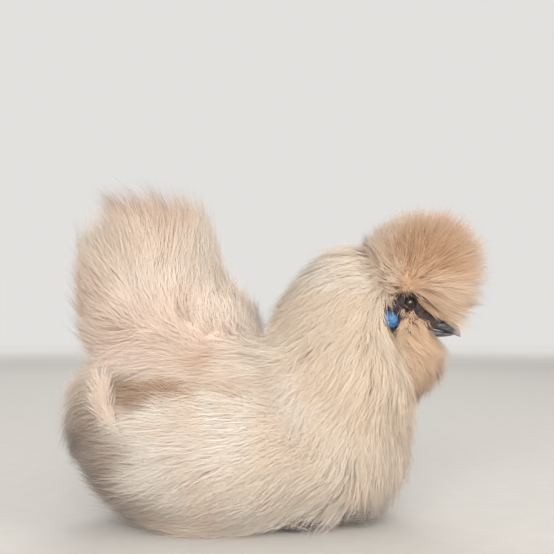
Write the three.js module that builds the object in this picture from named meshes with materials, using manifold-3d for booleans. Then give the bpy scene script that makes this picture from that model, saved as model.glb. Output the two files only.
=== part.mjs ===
// A silkie hen that sits with her feet tucked under her, life size, in millimetres.
// Her head points to +X, her left side to +Y and up is +Z. The origin is the middle of the flat of her belly.
// Each feathered piece is a plain core with flat, tapered locks of plumage that grow from it in a loop.

import * as THREE from "three";
import { mergeVertices } from "three/addons/utils/BufferGeometryUtils.js";
import Module from "manifold-3d";

const wasm = await Module();
wasm.setup();

// Driving sizes
const GAP = 0.3;
const FLOOR_CLEAR = 1.9;
const SEAM_CLEAR = 1.2;
const FAR = 300;
const GOLDEN_TURN = Math.PI * (3 - Math.sqrt(5));

// Cores: middle, half sizes along the core's own axes, and the turns in degrees: pitch leans the top to +X
// and yaw swings the front to +Y
const TORSO = { at: [-7, 0, 54], radii: [80, 58, 57], pitch: 0, around: 24, rings: 14 };
const BREAST = { at: [58, 0, 55], radii: [38, 46, 44], pitch: 0, around: 16, rings: 10 };
const RUMP = { at: [-60, 0, 72], radii: [35, 46, 35], pitch: 0, around: 16, rings: 10 };
const NECK = { at: [62, 0, 117], radii: [32, 33, 54], pitch: 20, around: 18, rings: 10 };
const CAPE = { at: [64, 0, 91], radii: [38, 46, 34], pitch: 0, around: 16, rings: 8 };
const TAIL = { at: [-54, 0, 128], radii: [35, 36, 42], pitch: 0, around: 16, rings: 10 };
const CUSHION = { at: [-25, 0, 116], radii: [33, 37, 30], pitch: 0, around: 16, rings: 8 };
const CREST = { at: [110, 0, 159], radii: [25, 24, 23], pitch: 0, around: 12, rings: 8 };
const BEARD = { at: [107, 0, 106], radii: [15, 21, 17], pitch: 0, around: 12, rings: 8 };
const MUFF = { at: [107, 11, 121], radii: [10, 7, 12], pitch: 0, around: 10, rings: 6 };
const SKULL = { at: [105, 0, 138], radii: [17, 14.5, 14.5], pitch: 24, around: 16, rings: 10 };
const MUZZLE = { at: [119, 0, 129.5], radii: [11, 8, 7], pitch: 18, around: 12, rings: 8 };

// Seen from her side as (x, z): where one feathered piece ends and the next begins
const BACK_NOTCH = [17, 131];
const SADDLE = [17, 101];
const TAIL_ROOT = [-92, 98];
const RUMP_END = [-FAR, 60];
const NAPE_LOW = [37, 84];
const CROP = [72, 64];
const THROAT_LOW = [112, 74];
const THROAT = [101, 88];
const CHEEK = [93, 120];
const LOBE_TOP = [98, 131];
const EAR = [94, 146];
const CREST_BACK = [78, 180];
const BROW = [[107, 143.5], [115, 139.5], [120.5, 133], [127, 128.2], [137, 126.5], [FAR, 150]];
const MASK = [[106, 134.5], [112, 133.5], [116.5, 127.5], [119.5, 121], [131, 119.5], [FAR, 119.5]];
const OUTLINES = {
  tail: [RUMP_END, TAIL_ROOT, SADDLE, BACK_NOTCH, [27, FAR], [-FAR, FAR]],
  neck: [
    ...[BACK_NOTCH, SADDLE, NAPE_LOW, CROP, THROAT_LOW, THROAT],
    ...[CHEEK, LOBE_TOP, EAR, CREST_BACK, [70, FAR], [27, FAR]],
  ],
  crest: [EAR, ...BROW, [FAR, FAR], [70, FAR], CREST_BACK],
  beard: [CHEEK, LOBE_TOP, ...MASK, [FAR, 74], THROAT_LOW, THROAT],
  torso: [
    ...[RUMP_END, [-FAR, -GAP / 2], [FAR, -GAP / 2], [FAR, 74]],
    ...[THROAT_LOW, CROP, NAPE_LOW, SADDLE, TAIL_ROOT],
  ],
};

// Materials
const finish = (color, roughness) => new THREE.MeshStandardMaterial({ color, roughness, metalness: 0 });
const CREAM_PLUMAGE = finish(0xe9dccb, 0.9);
const TAN_PLUMAGE = finish(0xdcc0a0, 0.9);
const MULBERRY_SKIN = finish(0x2c2226, 0.6);
const SLATE_HORN = finish(0x5a6068, 0.35);
const DARK_EYE = finish(0x0d0a0a, 0.08);
const BLUE_LOBE = finish(0x3f93cf, 0.5);
const CLAW_HORN = finish(0x6d6a68, 0.4);

// A seeded source of draws from 0 to 1, so that every build is the same.
function draws(seed) {
  let state = seed;
  return () => {
    state = (state + 0x6d2b79f5) | 0;
    let mixed = Math.imul(state ^ (state >>> 15), 1 | state);
    mixed = (mixed + Math.imul(mixed ^ (mixed >>> 7), 61 | mixed)) ^ mixed;
    return ((mixed ^ (mixed >>> 14)) >>> 0) / 4294967296;
  };
}

const vector = (x, y, z) => new THREE.Vector3(x, y, z);
const radians = THREE.MathUtils.degToRad;
const mix = THREE.MathUtils.lerp;
const ramp = THREE.MathUtils.smoothstep;

// A closed three.js geometry as a manifold-3d solid.
function solid(geometry) {
  const bare = geometry.clone();
  for (const name of ["normal", "uv"]) bare.deleteAttribute(name);
  const merged = mergeVertices(bare, 1e-4);
  return new wasm.Manifold(
    new wasm.Mesh({
      numProp: 3,
      vertProperties: merged.attributes.position.array,
      triVerts: new Uint32Array(merged.index.array),
    }),
  );
}

// A solid's largest closed body, without loose scraps or sealed hollows.
function largest(made) {
  const bodies = made.decompose();
  bodies.sort((a, b) => b.volume() - a.volume());
  return bodies[0];
}

function mesh(name, made, material) {
  const found = largest(made).getMesh();
  const geometry = new THREE.BufferGeometry();
  geometry.setAttribute("position", new THREE.BufferAttribute(Float32Array.from(found.vertProperties), 3));
  geometry.setIndex(new THREE.BufferAttribute(Uint32Array.from(found.triVerts), 1));
  const made3d = new THREE.Mesh(geometry, material);
  made3d.name = name;
  return made3d;
}

// A core's twin on her left side (side 1) or her right (side -1).
function mirrored(core, side) {
  const [x, y, z] = core.at;
  return { ...core, at: [x, y * side, z], yaw: (core.yaw ?? 0) * side };
}

// Cores are ellipsoids. This carries a point from the core's own axes to the part's.
function turned(core) {
  const turns = new THREE.Euler(0, radians(core.pitch), radians(core.yaw ?? 0), "ZYX");
  return new THREE.Matrix4().makeRotationFromEuler(turns).setPosition(...core.at);
}

// The core as a solid, larger by grow all round.
function egg(core, grow = 0) {
  const ball = new THREE.SphereGeometry(1, core.around, core.rings);
  ball.scale(...core.radii.map((r) => r + grow));
  ball.applyMatrix4(turned(core));
  return solid(ball);
}

// How far a point is outside a core, about, in millimetres. It is negative inside.
function outside(core, point) {
  const own = point.clone().applyMatrix4(turned(core).invert());
  const [a, b, c] = core.radii;
  return (Math.hypot(own.x / a, own.y / b, own.z / c) - 1) * Math.min(a, b, c);
}

// The outward direction of a core's level surface through a point.
function outward(core, point) {
  const own = point.clone().applyMatrix4(turned(core).invert());
  const [a, b, c] = core.radii;
  own.set(own.x / a ** 2, own.y / b ** 2, own.z / c ** 2).normalize();
  return own.transformDirection(turned(core));
}

// A side outline pushed through from left to right, as a solid.
function slab(outline) {
  const shape = new THREE.Shape(outline.map(([x, z]) => new THREE.Vector2(x, z)));
  const thick = new THREE.ExtrudeGeometry(shape, { depth: FAR, bevelEnabled: false });
  thick.rotateX(Math.PI / 2);
  thick.translate(0, FAR / 2, 0);
  return solid(thick);
}

// The distance from a point to the nearest edge of a side outline, positive inside it.
function depthIn(outline, x, z) {
  let nearest = Infinity;
  let inside = false;
  outline.forEach(([x0, z0], i) => {
    const [x1, z1] = outline[(i + 1) % outline.length];
    const along = ((x - x0) * (x1 - x0) + (z - z0) * (z1 - z0)) / ((x1 - x0) ** 2 + (z1 - z0) ** 2);
    const t = THREE.MathUtils.clamp(along, 0, 1);
    nearest = Math.min(nearest, Math.hypot(x - mix(x0, x1, t), z - mix(z0, z1, t)));
    if (z0 > z !== z1 > z && x < x0 + ((z - z0) / (z1 - z0)) * (x1 - x0)) inside = !inside;
  });
  return inside ? nearest : -nearest;
}

// The outline moved in by half the gap, which leaves the whole gap between two neighbours.
function inset(outline) {
  const middle = outline.length;
  return outline.map(([x, z], i) => {
    const [px, pz] = outline[(i + middle - 1) % middle];
    const [nx, nz] = outline[(i + 1) % middle];
    const before = vector(pz - z, 0, x - px).normalize();
    const after = vector(z - nz, 0, nx - x).normalize();
    const inward = before.add(after).normalize();
    const half = Math.max(0.35, inward.dot(after));
    const sign = depthIn(outline, x + inward.x * 0.05, z + inward.z * 0.05) > 0 ? 1 : -1;
    return [x + (sign * inward.x * GAP) / 2 / half, z + (sign * inward.z * GAP) / 2 / half];
  });
}

// A closed cone from t = 0 at its base to t = 1 at its tip, with each corner set by place(t, x, z).
// x and z are the corner on a circle of radius 1, and the directions of x, the cone and z are right-handed.
function bentCone(sides, steps, place) {
  const cone = new THREE.CylinderGeometry(0, 1, 1, sides, steps);
  const corners = cone.attributes.position;
  for (let i = 0; i < corners.count; i++) {
    const reach = Math.hypot(corners.getX(i), corners.getZ(i)) || Infinity;
    const spot = place(corners.getY(i) + 0.5, corners.getX(i) / reach, corners.getZ(i) / reach);
    corners.setXYZ(i, spot.x, spot.y, spot.z);
  }
  return solid(cone);
}

// A flat lock: a three-sided cone bent along a path, at its widest a third of the way out.
// out is the direction at each point of the path that its ridge faces.
function lock(path, out, width, thick) {
  const steps = path.length - 1;
  return bentCone(3, steps, (t, x, z) => {
    const k = Math.round(t * steps);
    const along = path[Math.min(k + 1, steps)].clone().sub(path[Math.max(k - 1, 0)]).normalize();
    const side = along.clone().cross(out[k]).normalize();
    const face = side.clone().cross(along);
    const wide = x * width * (0.6 + 1.7 * t - 2.2 * t * t);
    const deep = z * thick * (1 - 0.7 * t);
    return path[k].clone().addScaledVector(side, wide / 2).addScaledVector(face, deep / 2);
  });
}

// Places spread evenly over a core, as directions in its own axes.
function spread(count, draw, loose) {
  return Array.from({ length: count }, (_, i) => {
    const high = 1 - (2 * (i + 0.5)) / count;
    const round = Math.sqrt(1 - high * high);
    const angle = i * GOLDEN_TURN;
    const shift = () => ((draw() - 0.5) * loose) / Math.sqrt(count);
    const way = vector(Math.cos(angle) * round, Math.sin(angle) * round, high);
    return way.add(vector(shift(), shift(), shift())).normalize();
  });
}

// One lock from a root on a core, marched along the coat's lie. It is null where a point of it may not be.
function grown(core, coat, root, share, sway, may) {
  const steps = 3;
  const points = [root.clone().addScaledVector(outward(core, root), -coat.sink)];
  const faces = [outward(core, root)];
  let spot = root;
  for (let k = 1; k <= steps; k++) {
    const normal = outward(core, spot);
    const lie = coat.lie(spot);
    lie.addScaledVector(normal.clone().cross(lie), sway);
    lie.addScaledVector(normal, -lie.dot(normal)).normalize();
    const rise = coat.rise(root) * mix(1.4, 0.5, k / steps);
    const step = (coat.length(root) * share) / steps;
    spot = spot.clone().addScaledVector(lie.addScaledVector(normal, rise).normalize(), step);
    if (!may(spot)) return null;
    points.push(spot);
    faces.push(outward(core, spot));
  }
  return lock(points, faces, coat.width * mix(0.5, 1, share), coat.thick);
}

// Cores with locks grown all over them. coat gives seed, spacing, width, thick, sink, lie, length and rise.
// may says whether a lock may pass a point. A lock that may not is tried shorter, then left out.
function feathered(cores, coat, may) {
  const draw = draws(coat.seed);
  const pieces = cores.map((core) => egg(core));
  for (const core of cores) {
    const [a, b, c] = core.radii;
    const area = 4 * Math.PI * ((a * b + a * c + b * c) / 3);
    const others = cores.filter((other) => other !== core);
    for (const way of spread(Math.round(area / coat.spacing ** 2), draw, 1.2)) {
      const root = vector(way.x * a, way.y * b, way.z * c).applyMatrix4(turned(core));
      const vary = 0.86 + 0.24 * draw();
      const sway = (draw() - 0.5) * 0.5;
      if (!may(root) || others.some((other) => outside(other, root) < 1)) continue;
      const tries = [1, 0.84, 0.7, 0.56].map((share) => share * vary);
      const made = tries.reduce((found, share) => found ?? grown(core, coat, root, share, sway, may), null);
      if (made) pieces.push(made);
    }
  }
  return joined(pieces);
}

const joined = (pieces) => wasm.Manifold.union(pieces);
const inZone = (name) => (p) => depthIn(OUTLINES[name], p.x, p.z) > SEAM_CLEAR && p.z > FLOOR_CLEAR;
const zoned = (name, made) => made.intersect(slab(inset(OUTLINES[name])));

const hen = new THREE.Group();

// Head: skull and muzzle, with the eyes' sockets, lids and the small knobbed comb
const EYE = { at: [106.5, 12, 138.6], radii: [4.8, 4.8, 4.8], pitch: 0, around: 12, rings: 8 };
const LID = { ring: 4.9, thick: 1.2, out: 1.6, slant: 24, toe: 14 };
const COMB = { at: [122.5, 0, 134.5], radii: [5, 6, 3.2], pitch: 20, around: 10, rings: 6 };
const EARLOBE = { at: [93.6, 15.4, 128.2], radii: [6, 2.3, 4.8], pitch: 30, around: 10, rings: 6 };

const eyeBall = (side, grow = 0) => egg(mirrored(EYE, side), grow);

function lids(side, grow = 0) {
  const [x, y, z] = EYE.at;
  const ring = new THREE.TorusGeometry(LID.ring, LID.thick + grow, 4, 12);
  ring.scale(1.12, 0.86, 1);
  ring.rotateX(Math.PI / 2);
  ring.rotateY(radians(LID.slant));
  ring.rotateZ(radians(LID.toe) * -side);
  ring.translate(x, (y + LID.out) * side, z);
  return solid(ring);
}

const flesh = [SKULL, MUZZLE, COMB];
const headForm = joined([...flesh.map((core) => egg(core)), lids(1), lids(-1)]);
const headGrown = joined([...flesh.map((core) => egg(core, GAP)), lids(1, GAP), lids(-1, GAP)]);

// Beak: a curved cone of horn, parted at the line of the mouth
const BEAK = { root: [121, 127.2], mid: [132, 125.6], tip: [140.8, 118], wide: 11.5, high: 11 };
const JAW = { root: [120, 123.4], mid: [130, 119.6], tip: [138, 119.4], wide: 10.1, high: 7.6 };
const MOUTH = [[90, 131.4], [121, 122.6], [133, 120.4], [145, 116.2]];
const NOSTRIL = { at: [127.6, 5.6, 126.4], radii: [2.3, 1.3, 0.9], pitch: 22, around: 8, rings: 6 };

// One half of the beak as a whole horn, wider and higher by grow.
function horn(half, grow = 0) {
  const [from, over, to] = [half.root, half.mid, half.tip].map(([x, z]) => vector(x, 0, z));
  const bend = new THREE.QuadraticBezierCurve3(from, over, to);
  return bentCone(12, 6, (t, x, z) => {
    const along = bend.getTangent(t);
    const down = vector(along.z, 0, -along.x);
    const taper = Math.sqrt(1 - t) * (1 - 0.25 * t);
    const spot = bend.getPoint(t).addScaledVector(down, z * (half.high + grow) * 0.5 * taper);
    return spot.setY(x * (half.wide + grow) * 0.5 * taper);
  });
}

// All above the line of the mouth (way 1) or all below it (way -1), with the gap between.
function mouthHalf(way) {
  const line = MOUTH.map(([x, z]) => [x, z + (way * GAP) / 2]);
  const [first, last] = [MOUTH[0][0], MOUTH.at(-1)[0]];
  return slab([...line, [last, way * FAR], [first, way * FAR]]);
}

const nostrils = joined([egg(mirrored(NOSTRIL, 1)), egg(mirrored(NOSTRIL, -1))]);
const beakUpper = horn(BEAK).subtract(headGrown).intersect(mouthHalf(1)).subtract(nostrils);
const beakLower = horn(JAW).subtract(headGrown).intersect(mouthHalf(-1));
hen.add(mesh("beak_upper", beakUpper, SLATE_HORN));
hen.add(mesh("beak_lower", beakLower, SLATE_HORN));

const SIDES = [["left", 1], ["right", -1]];
const sockets = joined(SIDES.map(([, side]) => eyeBall(side, GAP)));
const lobesGrown = joined(SIDES.map(([, side]) => egg(mirrored(EARLOBE, side), GAP)));
hen.add(mesh("head", headForm.subtract(sockets).subtract(lobesGrown), MULBERRY_SKIN));
for (const [name, side] of SIDES) {
  hen.add(mesh(`eye_${name}`, eyeBall(side), DARK_EYE));
  hen.add(mesh(`earlobe_${name}`, egg(mirrored(EARLOBE, side)), BLUE_LOBE));
}

// What the crest, neck and beard keep clear of: the head, its lobes and the beak
const faceGrown = joined([headGrown, lobesGrown, horn(BEAK, 2 * GAP), sockets]);
const LOBE_WINDOW = { round: 8.5, inside: 9 };
const awayFromFace = (p) => Math.min(outside(SKULL, p), outside(MUZZLE, p)) > SEAM_CLEAR;
const fromLobe = (p) => Math.hypot(p.x - EARLOBE.at[0], p.z - EARLOBE.at[2]);
const windowOpen = (p) => fromLobe(p) > LOBE_WINDOW.round || Math.abs(p.y) < LOBE_WINDOW.inside;

// Crest: a ball of locks that stand out all round
const crestCoat = {
  seed: 11,
  spacing: 13.2,
  width: 21,
  thick: 4,
  sink: 6,
  lie: (p) => vector(p.x - 100, p.y * 1.2, p.z - 150),
  length: () => 27.5,
  rise: () => 2.2,
};
const crestMay = (p) => inZone("crest")(p) && awayFromFace(p);
const crest = zoned("crest", feathered([CREST], crestCoat, crestMay)).subtract(faceGrown);
hen.add(mesh("crest", crest, TAN_PLUMAGE));

// Beard and muffs: short locks that fall from the cheeks and chin
const beardCoat = {
  seed: 23,
  spacing: 13,
  width: 15,
  thick: 3,
  sink: 3.5,
  lie: (p) => vector(0.3, p.y * 0.008, -1),
  length: () => 22,
  rise: (p) => (p.z > 104 ? 0.6 : 0.85),
};
const beardMay = (p) => inZone("beard")(p) && awayFromFace(p) && windowOpen(p);
const beardForm = feathered([BEARD, mirrored(MUFF, 1), mirrored(MUFF, -1)], beardCoat, beardMay);
const beard = zoned("beard", beardForm).subtract(faceGrown);
hen.add(mesh("beard", beard, TAN_PLUMAGE));

// Neck: long hackle locks that fall back and down over the shoulders
const neckCoat = {
  seed: 37,
  spacing: 22,
  width: 26,
  thick: 4.4,
  sink: 6,
  lie: (p) => vector(-0.62, p.y * 0.003, -0.8),
  length: (p) => mix(42, 32, ramp(p.z, 90, 150)),
  rise: (p) => (p.x < 60 ? 0.68 : 0.45),
};
const neckMay = (p) => inZone("neck")(p) && windowOpen(p);
const neck = zoned("neck", feathered([NECK, CAPE], neckCoat, neckMay)).subtract(faceGrown);
hen.add(mesh("neck", neck, CREAM_PLUMAGE));

// Tail: a high soft cushion of plumes that fan up and back
const tailCoat = {
  seed: 41,
  spacing: 20,
  width: 31,
  thick: 5,
  sink: 7,
  lie: (p) => vector(p.x + 55, p.y * 0.9, (p.z - 118) * 1.1 + 12),
  length: (p) => mix(36, 57, ramp(p.z, 125, 160)) * mix(1, 0.55, ramp(p.x, -16, 2)),
  rise: (p) => mix(0.9, 1.9, ramp(p.z, 130, 165)),
};
const tail = zoned("tail", feathered([TAIL, CUSHION], tailCoat, inZone("tail")));
hen.add(mesh("tail", tail, CREAM_PLUMAGE));

// Wings: folded flat on her flanks, with covert locks and two tiers of quills. The outline is her side view.
const WING = { at: [-16, 56, 76], radii: [52, 8, 21], pitch: -4, yaw: 7, around: 12, rings: 8 };
const WING_TOP = [[44, 66], [36, 92], [0, 98], [-60, 96], [-92, 108]];
const WING_BOTTOM = [[-96, 80], [-80, 54], [-20, 48], [26, 52]];
const WING_OUTLINE = [...WING_TOP, ...WING_BOTTOM];
const PRIMARIES = { count: 4, from: [-42, 52, 67], to: [-40, 50, 82], turn: [8, 14], length: 44 };
const SECONDARIES = { count: 5, from: [-16, 61, 62], to: [-18, 59, 86], turn: [-6, 6], length: 42 };
const PRIMARY_CURL = 9;
const VANE_WIDE = { primary: 15, secondary: 16 };
const VANE = { thick: 2.6, layer: 1.4, settle: 3 };
const covertCoat = {
  seed: 57,
  spacing: 23,
  width: 27,
  thick: 3.6,
  sink: 4,
  lie: () => vector(-1, 0, -0.12),
  length: () => 38,
  rise: () => 0.32,
};
const bodyGrown = joined([TORSO, RUMP, BREAST].map((core) => egg(core, GAP)));

// Quill vanes of one tier, fanned from the wrist to the wing's tip, each a layer out from the one before.
// curl is how far a vane's tip bends up.
function quills(side, tier, curl, width) {
  return Array.from({ length: tier.count }, (_, i) => {
    const share = i / (tier.count - 1);
    const [x, y, z] = tier.from.map((v, k) => mix(v, tier.to[k], share));
    const angle = radians(mix(...tier.turn, share));
    const reach = tier.length * mix(1, 0.82, share);
    const points = [0, 1, 2, 3].map((k) => {
      const run = (k / 3) * reach;
      const out = y + VANE.layer * i - VANE.settle * k;
      const high = z + run * Math.sin(angle) + curl * (k / 3) ** 2;
      return vector(x - run * Math.cos(angle), out * side, high);
    });
    return lock(points, points.map(() => vector(0.1, side, 0)), width, VANE.thick);
  });
}

function wing(side) {
  const core = mirrored(WING, side);
  const may = (p) => depthIn(WING_OUTLINE, p.x, p.z) > 1 && inZone("torso")(p) && p.y * side > 44;
  const coat = feathered([core], { ...covertCoat, seed: covertCoat.seed + side }, may);
  const primaries = quills(side, PRIMARIES, PRIMARY_CURL, VANE_WIDE.primary);
  const form = joined([coat, ...primaries, ...quills(side, SECONDARIES, 0, VANE_WIDE.secondary)]);
  return zoned("torso", form.intersect(slab(inset(WING_OUTLINE)))).subtract(bodyGrown);
}

// Torso: body, breast and rump, with fluff that flows back on the flanks and down on the breast
const FOOT_BAY = { from: -46, to: 96, middle: 27, half: 15.5, high: 16 };

// The hollow under one side of the belly that takes a folded leg, smaller by shrink all round.
function footBay(side, shrink) {
  const bay = new THREE.CylinderGeometry(1, 1, FOOT_BAY.to - FOOT_BAY.from - 2 * shrink, 14, 1);
  bay.rotateZ(Math.PI / 2);
  bay.scale(1, FOOT_BAY.half - shrink, FOOT_BAY.high - shrink);
  bay.translate((FOOT_BAY.from + FOOT_BAY.to) / 2, FOOT_BAY.middle * side, 0);
  return solid(bay);
}

const onWing = (p) => depthIn(WING_OUTLINE, p.x, p.z) > -1.5 && Math.abs(p.y) > 30;
const besideFoot = (p) => Math.abs(Math.abs(p.y) - FOOT_BAY.middle) < FOOT_BAY.half + 2;
const overFoot = (p) => p.x > FOOT_BAY.from - 2 && p.x < 62 && besideFoot(p) && p.z < FOOT_BAY.high + 4;
const torsoMay = (p) => inZone("torso")(p) && !onWing(p) && !overFoot(p);
const torsoCoat = {
  seed: 67,
  spacing: 26,
  width: 31,
  thick: 5,
  sink: 7,
  lie: (p) => {
    const front = ramp(p.x, 35, 80);
    const rear = ramp(-p.x, 60, 90);
    const lift = 1 - ramp(p.z, 1, 12);
    const fall = mix(mix(mix(-0.9, -0.25, ramp(p.z, 25, 60)), -0.6, rear), -1, front);
    return vector(mix(-1, 0.1, front) + lift * p.x * 0.01, p.y * mix(0.005, 0.02, lift), fall * (1 - lift));
  },
  length: () => 40,
  rise: (p) => mix(0.4, 0.5, ramp(Math.abs(p.x), 40, 85)) * mix(1, 0.3, ramp(p.z, 85, 100)),
};
const torso = zoned("torso", feathered([TORSO, BREAST, RUMP], torsoCoat, torsoMay));
const bays = joined(SIDES.map(([, side]) => footBay(side, 0)));
hen.add(mesh("torso", torso.subtract(bays), CREAM_PLUMAGE));
for (const [name, side] of SIDES) hen.add(mesh(`wing_${name}`, wing(side), CREAM_PLUMAGE));

// Legs: drumstick end, shank and five toes, folded flat under the belly
const HOCK = [-28, 27, 6.2];
const THIGH = { at: [-19, 27, 10], radii: [17, 9.5, 8.5], pitch: 0, around: 12, rings: 6 };
const TOE_ROOT = [14, 27, 4.6];
const TOES = [
  { name: "hallux", turn: 150, length: 13, from: [0, 0, 0] },
  { name: "fifth", turn: 155, length: 9, from: [-3, -3, 3.4] },
  { name: "inner", turn: 20, length: 21, from: [0, 0, 0] },
  { name: "middle", turn: 2, length: 30, from: [0, 0, 0] },
  { name: "outer", turn: -20, length: 23, from: [0, 0, 0] },
];
const TOE_PROFILE = [[0, 0], [3.7, 0], [3.2, 0.25], [3.8, 0.5], [2.7, 0.72], [2.2, 1], [0, 1]];
const SHANK_PROFILE = [[0, 0], [5.2, 0], [4.4, 0.4], [4.6, 1], [0, 1]];
const CLAW = { length: 8.5, radius: 1.7 };

// A turned piece from one point to another, with its profile as pairs of radius and share of the way.
function rod(from, to, profile) {
  const run = to.clone().sub(from);
  const points = profile.map(([r, t]) => new THREE.Vector2(r, t * run.length()));
  const turnedPiece = new THREE.LatheGeometry(points, 6);
  const turn = new THREE.Quaternion().setFromUnitVectors(vector(0, 1, 0), run.normalize());
  turnedPiece.applyQuaternion(turn);
  turnedPiece.translate(...from.toArray());
  return solid(turnedPiece);
}

const ball = (at, r) => egg({ at: at.toArray(), radii: [r, r, r], pitch: 0, around: 8, rings: 6 });
const toeRoot = (toe, side) => vector(...TOE_ROOT).add(vector(...toe.from)).multiply(vector(1, side, 1));
const aboveFloor = slab([[-FAR, 0], [FAR, 0], [FAR, FAR], [-FAR, FAR]]);

function toeWay(toe, side) {
  const turn = radians(toe.turn);
  return vector(Math.cos(turn), -Math.sin(turn) * side, -0.03).normalize();
}

function leg(side) {
  const hock = vector(HOCK[0], HOCK[1] * side, HOCK[2]);
  const foot = vector(TOE_ROOT[0], TOE_ROOT[1] * side, TOE_ROOT[2]);
  const pieces = [egg(mirrored(THIGH, side)), ball(hock, 6.6), rod(hock, foot, SHANK_PROFILE), ball(foot, 5)];
  for (const toe of TOES) {
    const root = toeRoot(toe, side);
    pieces.push(rod(root, root.clone().addScaledVector(toeWay(toe, side), toe.length), TOE_PROFILE));
  }
  return joined(pieces).intersect(aboveFloor);
}

function claw(toe, side) {
  const way = toeWay(toe, side);
  const base = toeRoot(toe, side).addScaledVector(way, toe.length + GAP);
  const across = vector(-way.y, way.x, 0).normalize();
  const down = across.clone().cross(way);
  const form = bentCone(6, 3, (t, x, z) => {
    const size = CLAW.radius * (1 - 0.8 * t) * Math.ceil(1 - t);
    const spot = base.clone().addScaledVector(way, t * CLAW.length);
    spot.addScaledVector(down, z * size + 1.6 * t * t - 0.7 * t);
    return spot.addScaledVector(across, x * size);
  });
  return form.intersect(aboveFloor);
}

for (const [name, side] of SIDES) {
  const form = leg(side).intersect(footBay(side, GAP));
  hen.add(mesh(`leg_${name}`, form, MULBERRY_SKIN));
  for (const toe of TOES) hen.add(mesh(`claw_${toe.name}_${name}`, claw(toe, side), CLAW_HORN));
}

export default hen;
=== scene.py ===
"""A sitting silkie hen: her skin, loose hair-like plumage, face, beak, ear lobes and folded feet.

Her head points to +X, her left side to +Y and up is +Z. Sizes in the code are millimetres unless a name
says otherwise, and a mesh is put into the scene in metres.
"""

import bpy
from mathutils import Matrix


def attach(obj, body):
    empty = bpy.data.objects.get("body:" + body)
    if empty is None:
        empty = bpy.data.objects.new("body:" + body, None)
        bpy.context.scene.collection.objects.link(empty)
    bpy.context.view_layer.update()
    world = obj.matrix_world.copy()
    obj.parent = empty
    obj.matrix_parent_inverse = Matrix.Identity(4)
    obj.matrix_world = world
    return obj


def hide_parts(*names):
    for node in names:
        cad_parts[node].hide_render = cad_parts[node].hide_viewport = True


bl_info = {
    "name": "Silkie Hen",
    "version": (1, 0, 0),
    "blender": (4, 5, 0),
    "location": "3D View > Sidebar > Silkie Hen",
    "description": "Builds a sitting silkie hen with loose plumage over one skin",
    "category": "Add Mesh",
}

import math

import bmesh
import bpy
import numpy as np
from bpy.props import FloatProperty, FloatVectorProperty, IntProperty, PointerProperty

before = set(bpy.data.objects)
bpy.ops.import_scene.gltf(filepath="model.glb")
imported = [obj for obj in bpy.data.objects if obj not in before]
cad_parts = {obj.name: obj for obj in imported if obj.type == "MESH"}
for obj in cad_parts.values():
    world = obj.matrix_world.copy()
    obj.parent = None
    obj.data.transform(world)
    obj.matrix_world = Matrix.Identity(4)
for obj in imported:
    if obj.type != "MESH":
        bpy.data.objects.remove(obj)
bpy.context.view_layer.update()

MM = 0.001
TINY = 1e-9
FAR = 300.0
ROOT_BODY = "root"
SIDES = (("left", 1), ("right", -1))
TRIANGLE_LIMIT = 200000
GOLDEN_TURN = math.pi * (3 - math.sqrt(5))


# Eggs: the plain forms under her plumage


def egg(at, radii, pitch=0.0, yaw=0.0):
    """An egg's middle, half sizes and own axes. Pitch leans its top to +X, and yaw swings its front to +Y."""
    lean, swing = math.radians(pitch), math.radians(yaw)
    leaning = [[math.cos(lean), 0, math.sin(lean)], [0, 1, 0], [-math.sin(lean), 0, math.cos(lean)]]
    swinging = [[math.cos(swing), -math.sin(swing), 0], [math.sin(swing), math.cos(swing), 0], [0, 0, 1]]
    axes = np.array(swinging) @ np.array(leaning)
    return {"at": np.array(at, float), "radii": np.array(radii, float), "axes": axes}


def twin(at, radii, side, pitch=0.0, yaw=0.0):
    """The egg on her left side (1) or her right side (-1)."""
    return egg((at[0], at[1] * side, at[2]), radii, pitch, yaw * side)


TORSO = egg((-7, 0, 54), (80, 58, 57))
BREAST = egg((58, 0, 55), (38, 46, 44))
RUMP = egg((-60, 0, 72), (35, 46, 35))
NECK = egg((62, 0, 117), (32, 33, 54), pitch=20)
CAPE = egg((64, 0, 91), (38, 46, 34))
TAIL = egg((-54, 0, 128), (35, 36, 42))
CUSHION = egg((-25, 0, 116), (33, 37, 30))
CREST = egg((110, 0, 159), (25, 24, 23))
BEARD = egg((107, 0, 106), (15, 21, 17))
MUFFS = [twin((107, 11, 121), (10, 7, 12), side) for _, side in SIDES]
SKULL = egg((105, 0, 138), (17, 14.5, 14.5), pitch=24)
MUZZLE = egg((119, 0, 129.5), (11, 8, 7), pitch=18)
COMB = egg((122.5, 0, 134.5), (5, 6, 3.2), pitch=20)
EYE_AT = (106.5, 12.0, 138.6)
EYE_RADIUS = 4.8
LOBE = {"at": (93.6, 15.4, 128.2), "radii": (6, 2.3, 4.8), "pitch": 30}

# Folded legs, flat under her belly
HOCK = (-28, 27, 6.2)
THIGH = {"at": (-19, 27, 10), "radii": (17, 9.5, 8.5)}
TOE_ROOT = (14, 27, 4.6)
SHANK_RADIUS = (5.0, 4.4)
TOE_RADIUS = (3.6, 2.2)
TOES = {
    "hallux": {"turn": 150, "length": 13, "start": (0, 0, 0)},
    "fifth": {"turn": 155, "length": 9, "start": (-3, -3, 3.4)},
    "inner": {"turn": 20, "length": 21, "start": (0, 0, 0)},
    "middle": {"turn": 2, "length": 30, "start": (0, 0, 0)},
    "outer": {"turn": -20, "length": 23, "start": (0, 0, 0)},
}
BELLY_HIGH = 9.0
FLOOR_CLEAR = 0.7

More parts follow.
